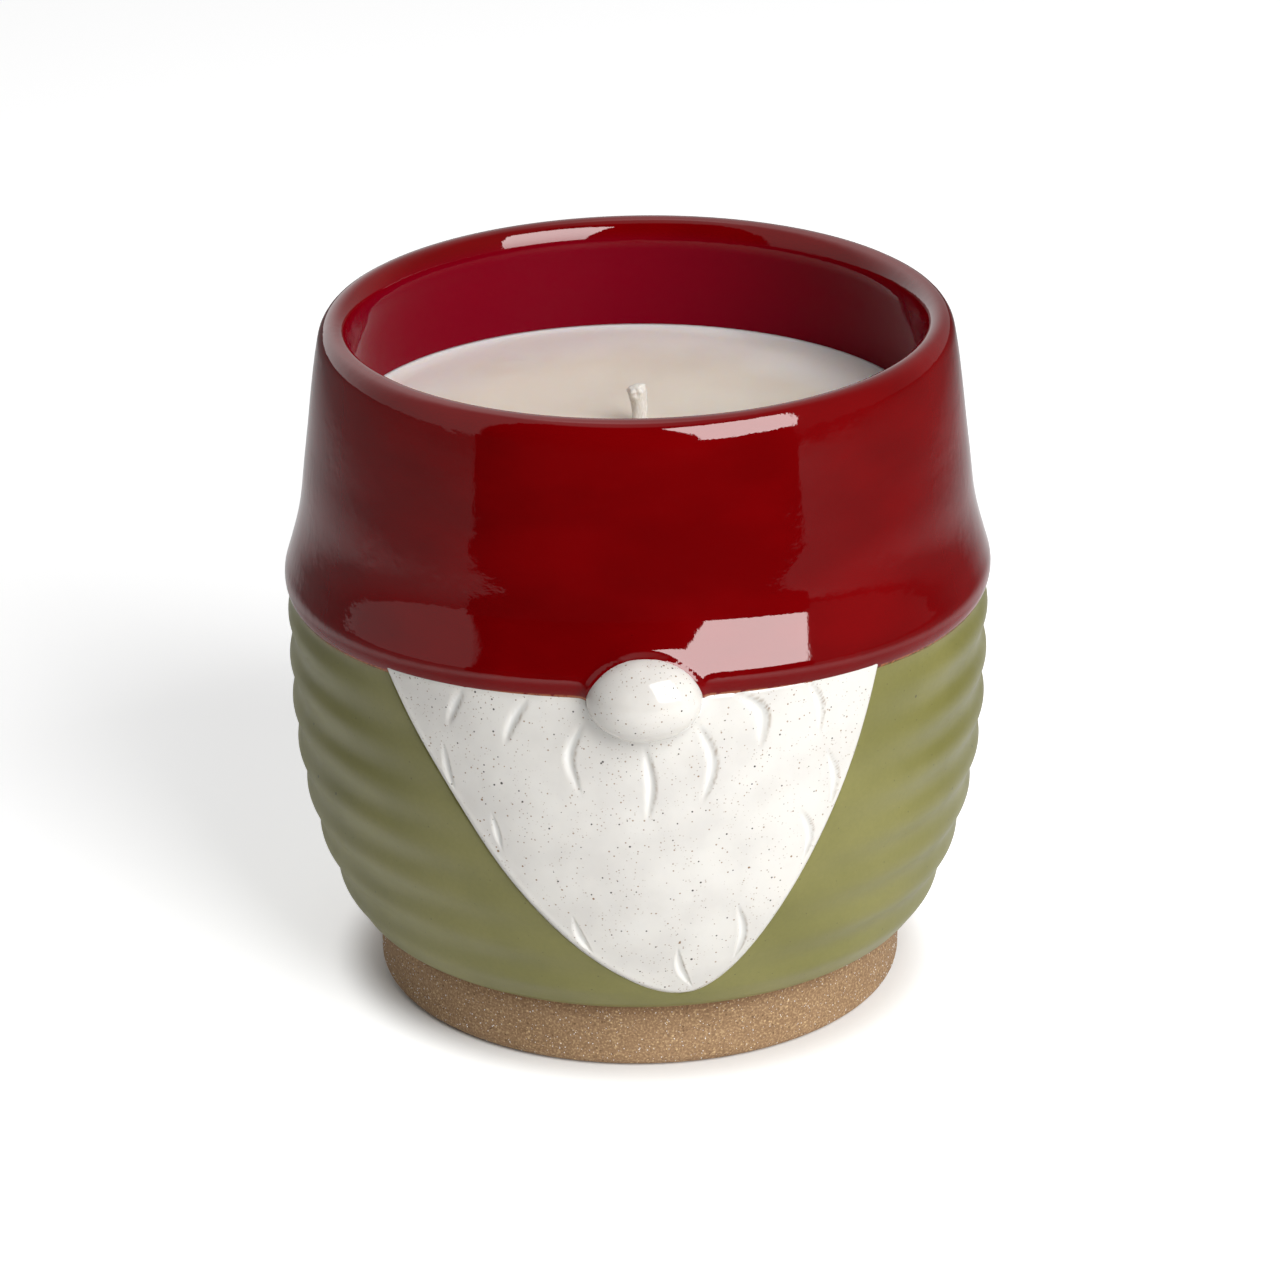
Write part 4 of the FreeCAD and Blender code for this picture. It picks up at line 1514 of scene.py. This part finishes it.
# ---- candle -------------------------------------------------------------------------------------
@dataclass
class Candle:
    """The wick on its tab and sticker, and the wax poured round them."""

    shape: PotShape
    wick_radius: float = 1.12
    tip_radius: float = 1.38
    wick_shift: float = 0.45
    strands: int = 4
    strand_pitch: float = 3.4
    strand_relief: float = 0.07
    lump_height: float = 1.1
    meniscus: float = 0.55
    collar: float = 0.35
    sink: float = 0.3
    waves: tuple = ((0.11, 0.07, 0.4), (0.19, -0.13, 1.9), (-0.23, 0.29, 4.0))

    def wax_top(self, radius: np.ndarray, wall: float, level: float) -> np.ndarray:
        """The wax surface's height: drawn up at the wall and round the wick, a little sunken between."""
        rim = self.meniscus * np.exp(-(wall - radius) / 0.9)
        collar = self.collar * np.exp(-np.abs(radius - self.wick_radius) / 0.8)
        sink = self.sink * np.exp(-(((radius - 13.0) / 9.0) ** 2))
        return level - self.meniscus + rim + collar - sink

    def wax(self) -> bpy.types.Object:
        """The wax fill."""
        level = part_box("wax")[1].z / MM
        line = self.shape.hat_outline(400)
        lip = int(np.argmax(line[:, 1]))
        inside = line[lip:]
        wall = float(np.interp(-level, -inside[:, 1], inside[:, 0]))
        hat_side = inside[inside[:, 1] < level - 0.05][::8]
        out = wall * np.linspace(0.0, 1.0, 120) ** 0.8
        surface = np.stack([out, self.wax_top(out, wall, level)], axis=1)
        surface[-1, 1] = level
        bowl = self.shape.bowl_inside(40)
        outline = joined(surface, hat_side[1:], bowl[1:], [(0.0, self.shape.floor)])
        obj = lathe("wax_fill", outline, turn_angles(120, 180, 60.0), False)
        place = points_of(obj)
        top = smoothstep(place[:, 2], level - 3.0, level - 1.2)
        ripple = sum(np.sin(a * place[:, 0] + b * place[:, 1] + c) for a, b, c in self.waves)
        place[:, 2] += 0.05 * ripple * top * smoothstep(wall - distance_out(place), 0.0, 3.0)
        place[:, 0] += self.wick_shift * smoothstep(-distance_out(place), -12.0, -2.0) * top
        move_points(obj, place)
        return obj

    def wick(self) -> bpy.types.Object:
        """The braided wick with its lumpy, leaning tip."""
        low, high = (corner.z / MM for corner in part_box("wick"))
        tip = high - 0.1
        rounded = arc((0.0, tip - 1.0), (self.tip_radius, 1.0), np.linspace(0.0, 90.0, 14))
        radius = self.wick_radius
        neck = spline([(radius, tip - 4.4), (radius, tip - 3.0), (1.2, tip - 2.1), rounded[0]], 24)
        shaft = upright(radius, np.linspace(low, tip - 4.4, 420))
        outline = joined([(0.0, low)], shaft, neck[1:], rounded[1:-1], [(0.0, tip)])
        obj = lathe("wick_braid", outline, np.radians(np.arange(0.0, 360.0, 7.5)), False)
        place = points_of(obj)
        set_attribute(obj, "lumpy", smoothstep(place[:, 2], tip - 3.0, tip - 1.2))
        braid(obj, self.strands, self.strand_pitch, self.strand_relief, self.lump_height)
        place = points_of(obj)
        above = np.clip(place[:, 2] - (tip - 5.2), 0.0, None)
        place[:, 0] += self.wick_shift * smoothstep(place[:, 2], 60.0, 80.0) - 0.022 * above**2
        place[:, 1] -= 0.01 * above**2
        slant = np.clip(place[:, 0] - self.wick_shift, -1.2, 1.2)
        place[:, 2] += 0.28 * slant * smoothstep(place[:, 2], tip - 1.5, tip)
        place[:, 2] = np.minimum(place[:, 2], high)
        move_points(obj, place)
        return obj

    def tab(self) -> bpy.types.Object:
        """The wick tab: a pressed disc with one stiffening ring and a neck crimped from four sides."""
        low, high = (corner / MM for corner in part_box("wick_tab"))
        sheet, base, disc, neck = 0.4, low.z, high.x, 1.6
        face, bore = base + sheet, self.wick_radius + 0.05
        bead = spline([(disc - 1.6, face), (disc - 2.3, face + 0.35), (disc - 3.0, face)], 12)
        flare = spline([(3.0, face), (2.0, base + 0.75), (1.66, base + 1.8), (neck, base + 3.2)], 16)
        top = [(neck, high.z), (bore, high.z), (bore, face)]
        edge = [(0.0, base), (disc - 0.15, base), (disc, base + sheet / 2), (disc - 0.15, face)]
        rise = upright(neck, np.linspace(base + 3.4, high.z - 0.1, 12))
        outline = joined(edge, bead, flare, rise, top, [(0.0, face)])
        obj = lathe("wick_tab_pressed", outline, np.radians(np.arange(0.0, 360.0, 5.0)), False)
        place = points_of(obj)
        height = place[:, 2]
        grip = smoothstep(height, base + 2.0, base + 3.2) * smoothstep(-height, 0.2 - high.z, 1.4 - high.z)
        outer = distance_out(place) > self.wick_radius + 0.1
        pinch = 1 - 0.12 * grip * outer * np.clip(np.cos(4 * wrap_angle(place)), 0.0, 1.0) ** 2
        place[:, :2] *= pinch[:, None]
        move_points(obj, place)
        return obj

    def sticker(self) -> bpy.types.Object:
        """The foam pad under the tab, with softened edges."""
        low, high = (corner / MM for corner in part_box("wick_sticker"))
        half = (high.z - low.z) / 2
        rim = arc((high.x - half, low.z + half), half, np.linspace(-90.0, 90.0, 9))
        outline = joined([(0.0, low.z)], rim, [(0.0, high.z)])
        return lathe("wick_sticker_pad", outline, np.radians(np.arange(0.0, 360.0, 6.0)), False)

    def build(self) -> None:
        """Makes the candle's pieces."""
        install(self.sticker(), Slot.STICKER, AdhesiveFoam().material(), "wick_sticker")
        install(self.tab(), Slot.METAL, TinnedSteel().material(), "wick_tab")
        install(self.wick(), Slot.COTTON, WaxedCotton().material(), "wick")
        install(self.wax(), Slot.WAX, CandleWax().material(), "wax")


# ---- studio -------------------------------------------------------------------------------------
@dataclass
class Studio:
    """The floor, the lights and the camera."""

    key_azimuth: float = 37.7
    key_elevation: float = 31.0
    key_distance: float = 0.9
    key_size: tuple = (0.6, 0.82)
    key_power: float = 12.0
    camera_distance: float = 0.6607
    camera_elevation: float = 23.09
    camera_target: tuple = (0.00027, 0.0, 0.04883)
    camera_roll: float = -0.35
    lens: float = 129.85

    def direction(self, azimuth: float, elevation: float) -> Vector:
        """The direction towards that angle round the pot from the front and above the floor."""
        a, e = math.radians(azimuth), math.radians(elevation)
        return Vector((math.sin(a) * math.cos(e), -math.cos(a) * math.cos(e), math.sin(e)))

    def panel(self, name: str, corners: list[tuple[float, float, float]]) -> bpy.types.Object:
        """A flat sheet with those four corners, in metres."""
        mesh = bpy.data.meshes.new(name)
        mesh.from_pydata(corners, [], [(0, 1, 2, 3)])
        return add_object(name, mesh)

    def floor(self) -> None:
        """A plain pale floor, which the pot's reflections see dimmer far away and more so on the right, as
        painted shade; to the camera it glows, a painted light that lifts the pot's shadow except close round
        the foot.
        """
        half = 3.0
        obj = self.panel("floor", [(-half, -half, 0), (half, -half, 0), (half, half, 0), (-half, half, 0)])
        paint = Paint("pale_floor")
        across = paint.node("ShaderNodeSeparateXYZ", None, {0: paint.place}).outputs[0]
        # Painted shade: what the pot sees of the floor darkens far away and to the right.
        far = paint.ramp(paint.distance_out(), 180.0, 420.0, 0.9, 0.25)
        level = paint.math("MULTIPLY", far, paint.ramp(across, 0.05, 0.35, 1.0, 0.4))
        colour = paint.node("ShaderNodeCombineXYZ", None, {0: level, 1: level, 2: level}).outputs[0]
        seen = paint.node("ShaderNodeLightPath").outputs["Is Camera Ray"]
        colour = paint.mix(seen, colour, (0.92, 0.92, 0.92))
        # Painted light: the floor glows for the camera, lifting the pot's shadow everywhere but close round
        # the foot.
        painted_glow = paint.math("MULTIPLY", seen, paint.ramp(paint.distance_out(), 37.5, 46.0, 0.0, 0.45))
        surface = paint.finish(
            Base_Color=colour,
            Roughness=0.9,
            Specular_IOR_Level=0.0,
            Emission_Color=(1.0, 1.0, 1.0),
            Emission_Strength=painted_glow,
        )
        obj.data.materials.append(surface)

    def flag(self) -> None:
        """A black card in front of the pot, which only its reflections see."""
        y, half, top = -0.3, 0.42, 0.095
        obj = self.panel("black_card", [(-half, y, 0), (half, y, 0), (half, y, top), (-half, y, top)])
        paint = Paint("black_card")
        obj.data.materials.append(paint.finish(Base_Color=(0.003, 0.003, 0.003), Roughness=1.0))
        obj.visible_camera = obj.visible_diffuse = obj.visible_shadow = False

    def key(self) -> None:
        """The large soft box at the front right."""
        light = bpy.data.lights.new("key", "AREA")
        light.shape = "RECTANGLE"
        light.size, light.size_y = self.key_size
        light.energy = self.key_power
        obj = add_object("key", light)
        toward = self.direction(self.key_azimuth, self.key_elevation)
        obj.location = toward * self.key_distance + Vector((0.0, 0.0, 0.06))
        obj.rotation_euler = toward.to_track_quat("Z", "Y").to_euler()

    def world(self) -> None:
        """A white room whose front, where the camera stands, is dark."""
        room = bpy.data.worlds.new("room")
        room.use_nodes = True
        graph = Graph(room.node_tree)
        graph.tree.nodes.clear()
        way = graph.node("ShaderNodeTexCoord").outputs["Generated"]
        split = graph.node("ShaderNodeSeparateXYZ", None, {0: way})
        x, y, z = split.outputs
        turn = graph.math("ABSOLUTE", graph.math("ARCTAN2", x, graph.math("MULTIPLY", y, -1.0)))
        beside = graph.ramp(turn, math.radians(54.0), math.radians(56.5))
        above = graph.ramp(z, math.sin(math.radians(60.0)), math.sin(math.radians(72.0)))
        open_sky = graph.math("MAXIMUM", beside, graph.math("MULTIPLY", above, 1.4))
        behind = graph.ramp(turn, math.radians(95.0), math.radians(150.0), 0.27, 0.9)
        right = graph.ramp(x, -0.5, 0.5, 1.3, 0.3)
        level = graph.math("MULTIPLY", graph.math("MULTIPLY", open_sky, behind), right)
        lit = graph.node("ShaderNodeBackground", None, {"Color": (1.0, 1.0, 1.0, 1.0), "Strength": level})
        seen = graph.node("ShaderNodeBackground", None, {"Color": (1.0, 1.0, 1.0, 1.0), "Strength": 1.0})
        ray = graph.node("ShaderNodeLightPath").outputs["Is Camera Ray"]
        both = graph.node("ShaderNodeMixShader", None, {0: ray, 1: lit.outputs[0], 2: seen.outputs[0]})
        graph.node("ShaderNodeOutputWorld", None, {"Surface": both.outputs[0]})
        bpy.context.scene.world = room
        bpy.context.scene.view_settings.view_transform = "Standard"

    def camera(self) -> None:
        """The camera, in front of the pot and above it."""
        data = bpy.data.cameras.new("camera")
        data.lens = self.lens
        data.clip_start, data.clip_end = 0.01, 20.0
        obj = add_object("camera", data)
        away = self.direction(0.0, self.camera_elevation) * self.camera_distance
        tilt = Matrix.Rotation(math.radians(90.0 - self.camera_elevation), 4, "X")
        roll = Matrix.Rotation(math.radians(self.camera_roll), 4, "Z")
        place = Matrix.Translation(away + Vector(self.camera_target))
        obj.matrix_world = place @ tilt @ roll
        bpy.context.scene.camera = obj

    def build(self) -> None:
        """Sets up the studio."""
        self.floor()
        self.flag()
        self.key()
        self.world()
        self.camera()


def main() -> None:
    """Builds the candle pot round its frame and sets up the studio."""
    logging.basicConfig(level=logging.INFO, format="%(name)s: %(message)s")
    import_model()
    Studio().build()
    shape = PotShape.from_frame()
    clay = BareClay(name="clay_body", colour=(0.38, 0.26, 0.16)).material()
    red, white = RedGlaze().material(), WhiteGlaze().material()
    nose = Nose(shape)
    beard = Beard(shape)
    Foot(shape).build()
    Bowl(shape, beard).build(clay, red)
    Hat(shape, nose).build(clay, red)
    beard.build(nose, clay, white)
    nose.build(clay, white)
    Candle(shape).build()


if __name__ == "__main__":
    main()
